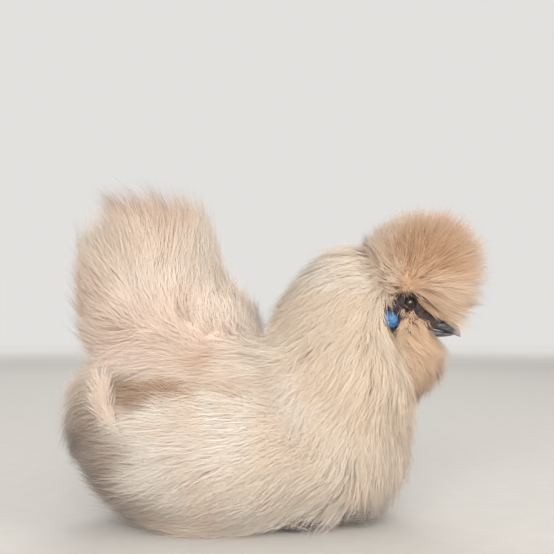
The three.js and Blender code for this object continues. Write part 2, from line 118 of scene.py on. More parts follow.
# Seen from her side as (x, z): where the parts of her plumage meet
BACK_NOTCH = (17, 131)
SADDLE = (17, 101)
TAIL_ROOT = (-92, 98)
RUMP_END = (-FAR, 60)
NAPE_LOW = (37, 84)
CROP = (72, 64)
THROAT_LOW = (112, 74)
THROAT = (101, 88)
CHEEK = (93, 120)
LOBE_TOP = (98, 131)
EAR = (94, 146)
CREST_BACK = (78, 180)
BROW = ((107, 143.5), (115, 139.5), (120.5, 133), (127, 128.2), (137, 126.5), (FAR, 150))
MASK = ((102.5, 135), (110.5, 133), (115, 127), (119, 120.5), (131, 119.5), (FAR, 119.5))
MASK_BACK = (97, 137)
OUTLINES = {
    "tail": (RUMP_END, TAIL_ROOT, SADDLE, BACK_NOTCH, (27, FAR), (-FAR, FAR)),
    "neck": (
        *(BACK_NOTCH, SADDLE, NAPE_LOW, CROP, THROAT_LOW, THROAT),
        *(CHEEK, LOBE_TOP, EAR, CREST_BACK, (70, FAR), (27, FAR)),
    ),
    "crest": (EAR, *BROW, (FAR, FAR), (70, FAR), CREST_BACK),
    "beard": (CHEEK, LOBE_TOP, MASK_BACK, *MASK, (FAR, 74), THROAT_LOW, THROAT),
    "torso": (
        *(RUMP_END, (-FAR, 0), (FAR, 0), (FAR, 74)),
        *(THROAT_LOW, CROP, NAPE_LOW, SADDLE, TAIL_ROOT),
    ),
    "face": (MASK_BACK, (96.5, 142), *BROW[:-1], *reversed(MASK[:-1])),
    "wing": (
        *((44, 66), (36, 92), (0, 98), (-60, 96), (-92, 108)),
        *((-96, 80), (-80, 54), (-20, 48), (26, 52)),
    ),
}
LOBE_WINDOW = {"round": 7.2, "inside": 9.0}


def mix(a, b, share):
    """The value at that share of the way from a to b."""
    return a + (b - a) * share


def ramp(value, low, high):
    """A smooth step: 0 up to low, 1 from high on, and 3 t squared minus 2 t cubed between them."""
    t = np.clip((value - low) / (high - low), 0, 1)
    return t * t * (3 - 2 * t)


def fade(value, low, high, at_low, at_high):
    """A smooth change from one number to another while the value goes from low to high."""
    return mix(at_low, at_high, ramp(value, low, high))


def unit(vectors):
    """The vectors at length 1."""
    return vectors / np.maximum(np.linalg.norm(vectors, axis=-1, keepdims=True), TINY)


def aim(x, y, z):
    """Directions from three arrays or numbers."""
    return np.stack(np.broadcast_arrays(x, y, z), -1).astype(float)


def outside(form, p):
    """How far points are outside an egg: k (k - 1) / g, where k is the length of the point over the half
    sizes, and g the length of that over the half sizes once more. It is negative inside."""
    over = ((p - form["at"]) @ form["axes"]) / form["radii"]
    k = np.linalg.norm(over, axis=-1)
    return k * (k - 1) / (np.linalg.norm(over / form["radii"], axis=-1) + TINY)


def off_rod(p, start, end, radii):
    """How far points are outside a straight rod whose radius goes from the first to the second of radii."""
    start, run = np.array(start, float), np.subtract(end, start)
    share = np.clip((p - start) @ run / (run @ run), 0, 1)
    return np.linalg.norm(p - start - share[..., None] * run, axis=-1) - mix(*radii, share)


def blended(distances, soft):
    """A soft union: minus soft times the log of the sum of e to the power of -distance / soft."""
    return -soft * np.logaddexp.reduce(np.stack(distances) / -soft, axis=0)


def depth_in(outline, x, z):
    """The distance from points to the nearest edge of a side outline, positive inside it."""
    nearest = np.full(np.shape(x), np.inf)
    inside = np.zeros(np.shape(x), bool)
    for (x0, z0), (x1, z1) in zip(outline, (*outline[1:], outline[0])):
        share = ((x - x0) * (x1 - x0) + (z - z0) * (z1 - z0)) / ((x1 - x0) ** 2 + (z1 - z0) ** 2)
        share = np.clip(share, 0, 1)
        nearest = np.minimum(nearest, np.hypot(x - mix(x0, x1, share), z - mix(z0, z1, share)))
        crossing = x < x0 + (z - z0) / (z1 - z0 if z1 != z0 else TINY) * (x1 - x0)
        inside ^= ((z0 > z) != (z1 > z)) & crossing
    return np.where(inside, nearest, -nearest)


# Skin: one soft union of the eggs, the lids and the folded legs

LID = {"ring": 4.9, "long": 1.12, "high": 0.8, "thick": 0.95, "slant": 24, "toe": 14, "ball": 5.0, "low": 0.6}
WRINKLE = {"every": 1.5, "deep": 0.16, "middle": 8.5, "reach": 3.4, "bend": 0.7, "bend_way": (0.9, 0.6)}
BLEND = {"body": 4.0, "flesh": 1.2, "face": 0.9, "leg": 0.8, "whole": 1.0}
UNDER_FLUFF = {"body": 1.2, "head": 1.0}
TOE_DIP = -0.03
LEAST_SLOPE = 0.05


def toe_way(toe, side):
    """The direction in which a toe points, almost flat on the floor."""
    turn = math.radians(toe["turn"])
    way = np.array((math.cos(turn), -math.sin(turn) * side, TOE_DIP))
    return way / np.linalg.norm(way)


def toe_start(toe, side):
    return np.add(TOE_ROOT, toe["start"]) * (1, side, 1)


def eye_axes(side):
    """An eye's own axes as rows: along the lids, up between them, and out of the head."""
    toe, slant = math.radians(LID["toe"]) * side, math.radians(LID["slant"])
    out = np.array((math.sin(toe) * side, math.cos(toe) * side, 0))
    level = np.array((out[1] * side, -out[0] * side, 0))
    along = level * math.cos(slant) - np.array((0, 0, 1)) * math.sin(slant)
    return np.stack([along, np.cross(along, out) * -side, out])


def lid_place(p, side):
    """A point as seen by the eye: its distance from the middle of the lids, with their oval made round, and
    its place on the eye's own axes."""
    own = (p - np.multiply(EYE_AT, (1, side, 1))) @ eye_axes(side).T
    along, up = own[..., 0] / LID["long"], own[..., 1] / LID["high"]
    return np.hypot(along, up), own


def off_lids(p, side):
    """How far points are outside the rim of the lids, a ring that is bent over the ball of the eye."""
    reach, own = lid_place(p, side)
    true_reach = LID["ring"] * np.hypot(own[..., 0], own[..., 1]) / np.maximum(reach, TINY)
    high = np.sqrt(np.maximum(LID["ball"] ** 2 - true_reach**2, LID["low"]))
    return np.hypot(reach - LID["ring"], own[..., 2] - high) - LID["thick"]


def off_skin(p):
    """How far points are outside her skin."""
    body = [outside(form, p) for form in (TORSO, BREAST, RUMP, NECK, CAPE, TAIL, CUSHION)]
    trunk = np.maximum(blended(body, BLEND["body"]) + UNDER_FLUFF["body"], BELLY_HIGH - p[..., 2])
    fluffy = [outside(form, p) + UNDER_FLUFF["head"] for form in (CREST, BEARD, *MUFFS)]
    flesh = [outside(form, p) for form in (SKULL, MUZZLE, COMB)]
    lids = [off_lids(p, side) for _, side in SIDES]
    face = blended([*fluffy, blended(flesh, BLEND["flesh"]), *lids], BLEND["face"])
    return blended([trunk, face, *(off_leg(p, side) for _, side in SIDES)], BLEND["whole"])


def off_leg(p, side):
    """How far points are outside one folded leg."""
    hock, foot = np.multiply(HOCK, (1, side, 1)), np.multiply(TOE_ROOT, (1, side, 1))
    thigh = outside(twin(THIGH["at"], THIGH["radii"], side), p)
    rods = [off_rod(p, hock, foot, SHANK_RADIUS)]
    for toe in TOES.values():
        start = toe_start(toe, side)
        rods.append(off_rod(p, start, start + toe_way(toe, side) * toe["length"], TOE_RADIUS))
    return blended([thigh, *rods], BLEND["leg"])


def uphill(field, p):
    """The slope of a field at points, from its values a short way to both sides along each axis."""
    step = 0.25
    slopes = [(field(p + shift) - field(p - shift)) / (2 * step) for shift in np.eye(3) * step]
    return np.stack(slopes, -1)


def settled(field, p, rounds=4):
    """Points moved along the slope of a field until it is 0 there."""
    for _ in range(rounds):
        slope = uphill(field, p)
        p = p - slope * (field(p) / np.maximum((slope**2).sum(-1), LEAST_SLOPE))[..., None]
    return p


def net(field, low, high, cell):
    """A closed skin where a field is 0: one corner in each cell of a box that the zero passes through, and
    one face across each edge of the grid where the field changes sign."""
    ticks = [np.arange(a, b, cell) for a, b in zip(low, high)]
    grid = np.stack(np.meshgrid(*ticks, indexing="ij"), -1)
    inside = np.stack([field(layer) for layer in grid]) < 0
    count = np.zeros([n - 1 for n in inside.shape], int)
    for corner in np.ndindex(2, 2, 2):
        count += inside[tuple(slice(c, n - 1 + c) for c, n in zip(corner, inside.shape))]
    full = (count > 0) & (count < 8)
    number = np.cumsum(full.ravel()).reshape(full.shape) - 1
    corners = grid[:-1, :-1, :-1][full] + cell / 2
    faces = []
    for axis in range(3):
        b, c = (axis + 1) % 3, (axis + 2) % 3
        ahead = np.take(inside, range(1, inside.shape[axis]), axis)
        behind = np.take(inside, range(inside.shape[axis] - 1), axis)
        place = np.argwhere(ahead != behind)
        outward = behind[tuple(place.T)]
        moves = np.zeros((4, 3), int)
        moves[1:3, b] = -1
        moves[2:4, c] = -1
        quads = np.stack([number[tuple((place + move).T)] for move in moves], -1)
        faces.append(np.where(outward[:, None], quads[:, ::-1], quads)[:, ::-1])
    return corners, np.concatenate(faces)


# Meshes


def put(name, points, quads, tris=(), material=None, replaces=()):
    """A mesh of quads and triangles as a smooth piece that rides with her, its faces pointing outwards."""
    points = np.asarray(points, float).reshape(-1, 3)
    quads = np.asarray(quads, int).reshape(-1, 4)
    tris = np.asarray(tris, int).reshape(-1, 3)
    halves = np.concatenate([quads[:, :3], quads[:, [0, 2, 3]], tris])
    if len(halves) > TRIANGLE_LIMIT:
        raise RuntimeError(f"{name} has {len(halves)} triangles, which is over {TRIANGLE_LIMIT}")
    a, b, c = (points[halves[:, k]] for k in range(3))
    if np.einsum("ij,ij->i", a, np.cross(b, c)).sum() < 0:
        quads, tris = quads[:, ::-1], tris[:, ::-1]
    loops = np.concatenate([quads.ravel(), tris.ravel()])
    starts = np.concatenate([np.arange(len(quads)) * 4, len(quads) * 4 + np.arange(len(tris)) * 3])
    mesh = bpy.data.meshes.new(name)
    mesh.vertices.add(len(points))
    mesh.vertices.foreach_set("co", (points * MM).astype(np.float32).ravel())
    mesh.loops.add(len(loops))
    mesh.loops.foreach_set("vertex_index", loops.astype(np.int32))
    mesh.polygons.add(len(starts))
    mesh.polygons.foreach_set("loop_start", starts.astype(np.int32))
    mesh.polygons.foreach_set("use_smooth", np.ones(len(starts), bool))
    mesh.update(calc_edges=True)
    piece = bpy.data.objects.new(name, mesh)
    bpy.context.scene.collection.objects.link(piece)
    if material:
        mesh.materials.append(material)
    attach(piece, ROOT_BODY)
    if replaces:
        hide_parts(*replaces)
    return piece, loops


def sleeve(rings, start, end):
    """A closed skin over rings of points: quads from ring to ring, and a fan to one point at each end."""
    rows, across = rings.shape[:2]
    here = np.arange(across)
    there = (here + 1) % across
    first = np.arange(rows - 1)[:, None] * across
    quads = np.stack([first + here, first + there, first + across + there, first + across + here], -1)
    last = (rows - 1) * across
    ends = [np.stack([np.full(across, rows * across), there, here], -1)]
    ends.append(np.stack([np.full(across, rows * across + 1), last + here, last + there], -1))
    points = np.concatenate([rings.reshape(-1, 3), [start, end]])
    return points, quads.reshape(-1, 4), np.concatenate(ends)


def ball_rings(rows, across):
    """Rings of directions over a ball, from just under the pole at +Z to just above the one at -Z."""
    down = np.linspace(0, math.pi, rows + 2)[1:-1, None]
    round_ = np.linspace(0, 2 * math.pi, across, endpoint=False)[None]
    return aim(np.sin(down) * np.cos(round_), np.sin(down) * np.sin(round_), np.cos(down))


# Strands: each tuft is a clump of fine three-sided threads that share a root and spread to their tips

ROOTS = {"jitter": 0.22, "apart": 0.5, "buried": 5.0}
TILE = {"start": 0.01, "size": 0.97}
WAVES = (((0.11, 0.07, 0.13), 1.3), ((-0.05, 0.17, 0.09), 0.0))
LUMPS = (((0.29, 0.16, -0.12), 0.0), ((-0.13, 0.31, 0.27), 2.0))
SPREAD = {"length": (0.88, 1.1), "rise": (0.82, 1.2), "width": (0.6, 1.1)}
SWAY = {"waves": 0.6, "own": 0.5}
PATH = {"rise": (1.5, 0.45), "off_skin": 0.4, "off_floor": FLOOR_CLEAR + 1.5}
THREAD = {"patch": 0.72, "ends": (4, 1.5), "turns": 7, "wave": 3, "taper": 0.6, "soft": 0.86}
TUFT_SHADE = 0.6
PATCH = 0.003


def spread(count):
    """Directions spread evenly over a ball: equal steps of height, and a golden turn between neighbours."""
    step = np.arange(count)
    high = 1 - 2 * (step + 0.5) / count
    flat = np.sqrt(1 - high**2)
    return aim(np.cos(step * GOLDEN_TURN) * flat, np.sin(step * GOLDEN_TURN) * flat, high)


def roots_on(forms, spacing, may, draw):
    """Places of tufts on the skin over the eggs, about one spacing apart, where may allows them."""
    found, charts = [], []
    for index, form in enumerate(forms):
        a, b, c = form["radii"]
        area = 4 * math.pi * (a * b + a * c + b * c) / 3
        ways = spread(int(area / spacing**2))
        ways = unit(ways + draw.normal(0, ROOTS["jitter"] * spacing / form["radii"].mean(), ways.shape))
        points = (ways * form["radii"]) @ form["axes"].T + form["at"]
        others = [outside(other, points) for other in forms if other is not form]
        clear = np.all(np.stack(others) > ROOTS["apart"], axis=0)
        found.append(points[clear])
        charts.append(np.full(clear.sum(), index))
    points, charts = np.concatenate(found), np.concatenate(charts)
    kept = may(points) & (off_skin(points) > -ROOTS["buried"])
    return settled(off_skin, points[kept], 3), charts[kept]


def unwrapped(points, charts, forms):
    """Each point's place on a flat unwrap of its egg: its turn about the egg's upright axis across, and its
    height from pole to pole up, with one tile of the square for each egg."""
    tiles = math.ceil(math.sqrt(len(forms)))
    place = np.zeros((len(points), 2))
    for index, form in enumerate(forms):
        mine = charts == index
        way = unit(((points[mine] - form["at"]) @ form["axes"]) / form["radii"])
        turn = np.arctan2(way[:, 1], way[:, 0]) / (2 * math.pi) + 0.5
        corner = np.array((index % tiles, index // tiles))
        flat = np.stack([turn, way[:, 2] / 2 + 0.5], -1)
        place[mine] = (corner + TILE["start"] + TILE["size"] * flat) / tiles
    return place


def sines(points, ways):
    """The sum of a sine of the points' places along each way, with its own start."""
    return sum(np.sin(points @ np.array(way) + start) for way, start in ways)


def paths_from(roots, coat, draw):
    """Each tuft's middle line as steps along the coat's lie: at each step the lie is laid on the skin, unless
    it is free, turned by a slow sway, lifted by the coat's rise, and kept above the skin and the floor. Sines
    of the root's place make the coat longer and shorter in lumps."""
    count, steps = len(roots), coat["steps"]
    lumps = 1 + coat["lumps"] * sines(roots, LUMPS)
    length = coat["length"](roots) * draw.uniform(*SPREAD["length"], count) * lumps
    rise = coat["rise"](roots) * draw.uniform(*SPREAD["rise"], count)
    sway = coat["sway"] * (SWAY["waves"] * sines(roots, WAVES) + draw.normal(0, SWAY["own"], count))
    normal = unit(uphill(off_skin, roots))
    spot = roots - normal * coat["sink"]
    path, normals, sides = [spot], [normal], []
    for step in range(steps):
        share = step / (steps - 1)
        lie = unit(coat["lie"](spot))
        lie = lie - normal * (lie * normal).sum(-1, keepdims=True) * (1 - coat["free"])
        lie = unit(lie) + np.cross(normal, unit(lie)) * sway[:, None]
        way = unit(unit(lie) + normal * (rise * mix(*PATH["rise"], share))[:, None])
        spot = spot + way * (length / steps)[:, None]
        normal = unit(uphill(off_skin, spot))
        lift = np.maximum(PATH["off_skin"] + share * coat["loft"] - off_skin(spot), 0)
        spot = spot + normal * lift[:, None]
        spot[:, 2] = np.maximum(spot[:, 2], PATH["off_floor"])
        path.append(spot)
        normals.append(normal)
        sides.append(unit(np.cross(way, normal)))
    return np.stack(path), np.stack(normals), np.stack([sides[0], *sides])


def gathered(path, share, group):
    """Paths drawn together into locks: each tip moves that share of the way to the tip of the nearest leading
    tuft, and points nearer the root by the square of their place less."""
    if share == 0 or path.shape[1] < group:
        return path
    leaders = np.arange(0, path.shape[1], group)
    apart = np.linalg.norm(path[0][:, None] - path[0][leaders][None], axis=-1)
    leader = leaders[apart.argmin(1)]
    place = np.linspace(0, 1, len(path))[:, None, None] ** 2
    return path + (path[:, leader] - path) * place * share


def reach_of(path, banned):
    """The share of each path that it may keep: up to its first point in a place that is banned."""
    steps = len(path) - 1
    hit = np.stack([banned(points) for points in path[1:]])
    first = np.where(hit.any(0), hit.argmax(0), steps)
    return first / steps


def strands(path, normals, sides, reach, coat, draw):
    """The centre lines of every strand of every tuft, with the directions across them. A strand starts within
    the tuft's patch of skin, ends at its own share of the tuft's length, and drifts from the middle line to
    the side and outwards as it goes, with a slow wave."""
    steps, count = len(path) - 1, path.shape[1]
    threads, knots = coat["strands"], coat["knots"]
    patch = coat["spacing"] * THREAD["patch"]
    size = (count, threads)
    turn = draw.uniform(0, 2 * math.pi, size)
    off = patch * np.sqrt(draw.uniform(0, 1, size))
    across, back = off * np.cos(turn), off * np.sin(turn)
    fan, loft, wave = (draw.normal(0, coat[key], size) for key in ("fan", "puff", "wave"))
    phase = draw.uniform(0, 2 * math.pi, size)
    share = mix(*coat["ends"], draw.beta(*THREAD["ends"], size)) * reach[:, None]
    place = np.linspace(0, 1, knots + 1)[None, None] * share[..., None]
    low = np.minimum((place * steps).astype(int), steps - 1)
    part = (place * steps - low)[..., None]
    tuft = np.arange(count)[:, None, None]
    middle = mix(path[low, tuft], path[low + 1, tuft], part)
    side, out = sides[low + 1, tuft], normals[low, tuft]
    first_side, first_out = sides[0][:, None, None], normals[0][:, None, None]
    along = np.cross(first_out, first_side)
    ripple = wave[..., None] * np.sin(place * THREAD["turns"] + phase[..., None]) * place * THREAD["wave"]
    narrow = (1 - coat["narrow"] * place)[..., None]
    centre = middle + first_side * across[..., None, None] * narrow
    centre = centre + along * back[..., None, None] * narrow
    centre = centre + side * (fan[..., None] * place + ripple)[..., None]
    centre = centre + out * (loft[..., None] * place)[..., None]
    centre[..., 2] = np.maximum(centre[..., 2], FLOOR_CLEAR)
    spin = draw.uniform(0, 2 * math.pi, size)[..., None, None]
    one = side * np.cos(spin) + out * np.sin(spin)
    two = out * np.cos(spin) - side * np.sin(spin)
    return centre, one, two, out, share


def threads_mesh(name, centre, one, two, out, width, shade, root, patch_at, material):
    """Three-sided threads, each widest near its root and ending in a point. Every thread has a ring of three
    corners at each knot but the last. Their normals lean to the skin's own, which softens them into fluff.
    Attributes hold a thread's place from root to tip, its tuft's shade and root, and the map holds a small
    patch for each tuft at its root's place."""
    tufts, threads, knots = centre.shape[:3]
    rings = knots - 1
    place = np.linspace(0, 1, knots)
    thick = width[..., None] * 0.5 * (1 - place[:-1]) ** THREAD["taper"]
    corner = np.arange(3) * (2 * math.pi / 3)
    ring = one[..., :-1, None, :] * np.cos(corner)[:, None] + two[..., :-1, None, :] * np.sin(corner)[:, None]
    out = np.broadcast_to(out, centre.shape)
    soft = unit(ring * (1 - THREAD["soft"]) + out[..., :-1, None, :] * THREAD["soft"])
    ring = centre[..., :-1, None, :] + ring * thick[..., None, None]
    total = tufts * threads
    points = np.concatenate([ring.reshape(total, rings * 3, 3), centre[..., -1, :].reshape(total, 1, 3)], 1)
    soft = np.concatenate([soft.reshape(total, rings * 3, 3), out[..., -1, :].reshape(total, 1, 3)], 1)
    per = rings * 3 + 1
    base = np.arange(total)[:, None, None] * per
    here = np.arange(3)
    there = (here + 1) % 3
    step = np.arange(rings - 1)[:, None] * 3
    quad = np.stack([step + here, step + there, step + 3 + there, step + 3 + here], -1).reshape(-1, 4)
    tip = np.stack([here + (rings - 1) * 3, there + (rings - 1) * 3, np.full(3, per - 1)], -1)
    tri = np.concatenate([tip, [[2, 1, 0]]])
    piece, loops = put(name, points, base + quad, base + tri, material)
    along = np.append(np.repeat(place[:-1], 3), 1.0)
    mesh = piece.data
    tones = np.repeat(np.broadcast_to(shade, (tufts, threads)).ravel(), per)
    note(mesh, "along", "FLOAT", "value", np.broadcast_to(along, (total, per)))
    note(mesh, "shade", "FLOAT", "value", tones)
    note(mesh, "root", "FLOAT_VECTOR", "vector", np.repeat(root * MM, threads * per, axis=0))
    column = (np.arange(threads)[None, :, None] + 0.5) / threads
    inner = np.stack(np.broadcast_arrays(column, along[None, None]), -1) * PATCH
    flat = (patch_at[:, None, None] + inner).reshape(-1, 2)
    layer = mesh.uv_layers.new(name="OFBake")
    layer.data.foreach_set("uv", flat[loops].astype(np.float32).ravel())
    mesh.normals_split_custom_set_from_vertices(soft.reshape(-1, 3).astype(np.float32))


def note(mesh, name, kind, key, values):
    """An attribute with one value or vector for each corner."""
    mesh.attributes.new(name, kind, "POINT").data.foreach_set(key, values.astype(np.float32).ravel())


def grow(name, coat, may, banned, material, half=0):
    """A piece of plumage: tufts on the skin over the coat's eggs, on both sides of her or on one half."""
    draw, forms = np.random.default_rng(coat["seed"]), coat["forms"]
    roots, charts = roots_on(forms, coat["spacing"], may, draw)
    path, normals, sides = paths_from(roots, coat, draw)
    path = gathered(path, coat["gather"], coat["group"])
    reach = reach_of(path, banned)
    kept = (reach > coat["least"]) & ((half == 0) | (roots[:, 1] * half > 0))
    path, normals, sides = path[:, kept], normals[:, kept], sides[:, kept]
    roots, charts, reach = roots[kept], charts[kept], reach[kept]
    centre, one, two, out, share = strands(path, normals, sides, reach, coat, draw)
    width = coat["width"] * draw.uniform(*SPREAD["width"], share.shape)
    shade = draw.uniform(0, 1, (len(roots), 1)) * TUFT_SHADE
    shade = shade + draw.uniform(0, 1, share.shape) * (1 - TUFT_SHADE)
    patch_at = unwrapped(roots, charts, forms)
    threads_mesh(name, centre, one, two, out, width, shade, roots, patch_at, material)


# Where plumage may grow, and what it keeps clear of

ZONE_EDGE = {"crest": 0, "beard": 0, "neck": -4, "tail": -4, "torso": -14, "wing": 1}
FACE_CLEAR = {"inside": 1.7, "half": 5}
BEAK_CLEAR = {"from": 124, "low": 116, "high": 127.5, "half": 9}
WING_CLEAR = {"inside": 2, "half": 34}


def in_zone(name):
    return lambda p: depth_in(OUTLINES[name], p[..., 0], p[..., 2]) > ZONE_EDGE[name]


def over_face(p):
    """In front of her bare face, her beak or an ear lobe, as seen from her side."""
    x, y, z = np.moveaxis(p, -1, 0)
    face = (depth_in(OUTLINES["face"], x, z) > FACE_CLEAR["inside"]) & (np.abs(y) > FACE_CLEAR["half"])
    lobe = np.hypot(x - LOBE["at"][0], z - LOBE["at"][2]) < LOBE_WINDOW["round"]
    beak = (x > BEAK_CLEAR["from"]) & (z > BEAK_CLEAR["low"]) & (z < BEAK_CLEAR["high"])
    beak = beak & (np.abs(y) < BEAK_CLEAR["half"])
    return face | (lobe & (np.abs(y) > LOBE_WINDOW["inside"])) | beak


def nowhere(p):
    return np.zeros(p.shape[:-1], bool)


def on_wing(p):
    x, y, z = np.moveaxis(p, -1, 0)
    return (depth_in(OUTLINES["wing"], x, z) > WING_CLEAR["inside"]) & (np.abs(y) > WING_CLEAR["half"])


# Coats: how the plumage of each part lies. A change has the two places on an axis between which it goes on,
# and then its value at both where it isn't a share from 0 to 1.

CREST_LIE = {"x": 105, "z": 149, "side": 0.36}
CREST_LENGTH = {"longest": 29, "back": (84, 128, 0.64, 1), "top": (162, 182, 1, 0.85)}
BEARD_LENGTH = (124, 134, 20, 9)
BEARD_RISE = (100, 106, 1.05, 0.8)
NECK_LIE = {
    "nape": (128, 168), "throat": (62, 95), "throat_top": (128, 148),
    "back": (-0.62, -1), "throat_back": -0.15, "side": 0.003, "down": (-0.8, -0.35),
}
NECK_LENGTH = (90, 150, 42, 32)
NECK_RISE = {"front": (52, 66, 0.6, 0.45), "nape": (128, 160, 1, 0.7)}
TAIL_LIE = {
    "fan_x": -44, "fan_side": 0.3, "fan_z": (124, 158, 96, 118), "level": (-40, 0.1, -3),
    "up": (-12, 0.5, 40), "high": (98, 150), "back": (62, 84), "back_high": (94, 114),
    "front": (-34, -6), "front_high": (104, 144),
}
TAIL_LENGTH = {
    "high": (124, 162, 33, 55), "front": (-24, 0, 1, 0.55), "back": (52, 82),
    "back_high": (142, 162, 0.92, 0.74),
}
TAIL_RISE = (125, 165, 0.8, 1.9)
BODY_LIE = {
    "front": (35, 80), "rear": (60, 90), "lift": (1, 14), "flank_fall": (25, 60, -0.45, -0.15),
    "rear_fall": -0.4, "front_fall": -1, "back": (-1, 0.1), "spread": 0.01, "side": (0.005, 0.02),
}
BODY_RISE = (40, 85, 0.4, 0.5)


def crest_lie(p):
    """Out from a point over the eye, and less to the side than to the front, top and back."""
    x, y, z = np.moveaxis(p, -1, 0)
    return aim(x - CREST_LIE["x"], y * CREST_LIE["side"], z - CREST_LIE["z"])


def neck_lie(p):
    """Down and back, more level on the nape and more upright on the throat."""
    x, y, z = np.moveaxis(p, -1, 0)
    nape = ramp(z, *NECK_LIE["nape"])
    throat = ramp(x, *NECK_LIE["throat"]) * (1 - ramp(z, *NECK_LIE["throat_top"]))
    back = mix(mix(*NECK_LIE["back"], nape), NECK_LIE["throat_back"], throat)
    return aim(back, y * NECK_LIE["side"], mix(*NECK_LIE["down"], nape))


def tail_lie(p):
    """A fan from the foot of the tail, level and back over the saddle under it, and up its front."""
    x, y, z = np.moveaxis(p, -1, 0)
    fan = aim(x - TAIL_LIE["fan_x"], y * TAIL_LIE["fan_side"], z - fade(z, *TAIL_LIE["fan_z"]))
    level, upward = (aim(a, y * b, c) for a, b, c in (TAIL_LIE["level"], TAIL_LIE["up"]))
    back = ramp(-x, *TAIL_LIE["back"]) * ramp(z, *TAIL_LIE["back_high"])
    high = np.maximum(ramp(z, *TAIL_LIE["high"]), back)[..., None]
    front = (ramp(x, *TAIL_LIE["front"]) * ramp(z, *TAIL_LIE["front_high"]))[..., None]
    return mix(mix(level, fan, high), upward, front)


def body_lie(p):
    """Back along the flanks, down on the breast, and outwards under the belly."""
    x, y, z = np.moveaxis(p, -1, 0)
    front, rear = ramp(x, *BODY_LIE["front"]), ramp(-x, *BODY_LIE["rear"])
    lift = 1 - ramp(z, *BODY_LIE["lift"])
    fall = mix(fade(z, *BODY_LIE["flank_fall"]), BODY_LIE["rear_fall"], rear)
    fall = mix(fall, BODY_LIE["front_fall"], front) * (1 - lift)
    back = mix(*BODY_LIE["back"], front) + lift * x * BODY_LIE["spread"]
    return aim(back, y * mix(*BODY_LIE["side"], lift), fall)


def steady(x, side, z):
    """One direction for a whole piece, that leans to the side by a share of the distance from her middle."""
    return lambda p: aim(x, p[..., 1] * side, z)


def even(value):
    return lambda p: np.full(p.shape[:-1], float(value))


def changing(axis, change):
    """A number that changes smoothly along one axis."""
    return lambda p: fade(p[..., axis], *change)


def crest_length(longest):
    """The crest's lengths: longest in front, and shorter at the back and on top."""
    back, top = CREST_LENGTH["back"], CREST_LENGTH["top"]
    return lambda p: longest * fade(p[..., 0], *back) * fade(p[..., 2], *top)


def neck_rise(p):
    return fade(p[..., 0], *NECK_RISE["front"]) * fade(p[..., 2], *NECK_RISE["nape"])


def tail_length(p):
    """The tail's lengths: long on top, and shorter in front, at its foot and at the back."""
    x, z = p[..., 0], p[..., 2]
    back = mix(1, fade(z, *TAIL_LENGTH["back_high"]), ramp(-x, *TAIL_LENGTH["back"]))
    return fade(z, *TAIL_LENGTH["high"]) * fade(x, *TAIL_LENGTH["front"]) * back


def body_rise(p):
    return fade(np.abs(p[..., 0]), *BODY_RISE)


BODY_FORMS = [TORSO, BREAST, RUMP]
PLAIN_COAT = {
    "knots": 2, "steps": 8, "sink": 1.5, "loft": 2.0, "free": 0.0, "narrow": 0.0, "gather": 0.0,
    "group": 10, "ends": (0.4, 1.05), "lumps": 0.04, "least": 0.3,
}
COATS = {
    "crest": {
        "forms": [CREST, SKULL, MUZZLE, COMB], "seed": 11,
        "spacing": 3.0, "strands": 24, "width": 0.41, "rise": even(0.45), "lie": crest_lie, "free": 1.0,
        "length": crest_length(CREST_LENGTH["longest"]), "sway": 0.18, "fan": 2.6, "puff": 2.0, "wave": 0.5,
        "narrow": 0.3, "gather": 0.2, "group": 5, "ends": (0.5, 1.06), "lumps": 0.03, "least": 0.15,
    },
    "beard": {
        "forms": [BEARD, *MUFFS, SKULL], "seed": 23,
        "spacing": 2.7, "strands": 20, "width": 0.4, "rise": changing(2, BEARD_RISE),
        "lie": steady(0.3, 0.008, -1.0), "length": changing(2, BEARD_LENGTH), "sway": 0.45, "fan": 2.6,
        "puff": 2.2, "wave": 0.5, "narrow": 0.3, "gather": 0.4, "group": 5, "ends": (0.45, 1.1),
        "lumps": 0.07,
    },
    "neck": {
        "forms": [NECK, CAPE], "seed": 37,
        "spacing": 4.2, "strands": 27, "width": 0.42, "rise": neck_rise, "lie": neck_lie,
        "length": changing(2, NECK_LENGTH), "sway": 0.25, "fan": 4.0, "puff": 2.6, "wave": 0.8,
        "gather": 0.06,
    },
    "tail": {
        "forms": [TAIL, CUSHION], "seed": 41,
        "spacing": 4.8, "strands": 35, "width": 0.43, "rise": changing(2, TAIL_RISE), "lie": tail_lie,
        "length": tail_length, "sway": 0.35, "fan": 4.4, "puff": 3.4, "wave": 1.2, "gather": 0.3, "group": 7,
        "lumps": 0.09,
    },
    "body": {
        "forms": BODY_FORMS, "seed": 67,
        "spacing": 5.4, "strands": 34, "width": 0.44, "rise": body_rise, "lie": body_lie, "length": even(41),
        "sway": 0.22, "fan": 4.6, "puff": 2.8, "wave": 0.8, "gather": 0.06,
    },
    "wing": {
        "forms": BODY_FORMS, "seed": 57,
        "spacing": 5.0, "strands": 28, "width": 0.43, "rise": even(0.36), "lie": steady(-1.0, 0.001, -0.1),
        "length": even(38), "sway": 0.24, "fan": 4.4, "puff": 2.4, "wave": 0.7, "gather": 0.06,
    },
    "fuzz": {
        "forms": [SKULL, MUZZLE], "seed": 71,
        "spacing": 1.5, "strands": 5, "width": 0.24, "rise": even(0.5), "lie": steady(-0.5, 0.0, -0.9),
        "length": even(3.6), "steps": 4, "sway": 0.4, "fan": 0.6, "puff": 0.4, "wave": 0.1, "sink": 0.5,
        "loft": 0.2, "least": 0.0,
    },
}


# Quills: the shredded flight feathers of the folded wings

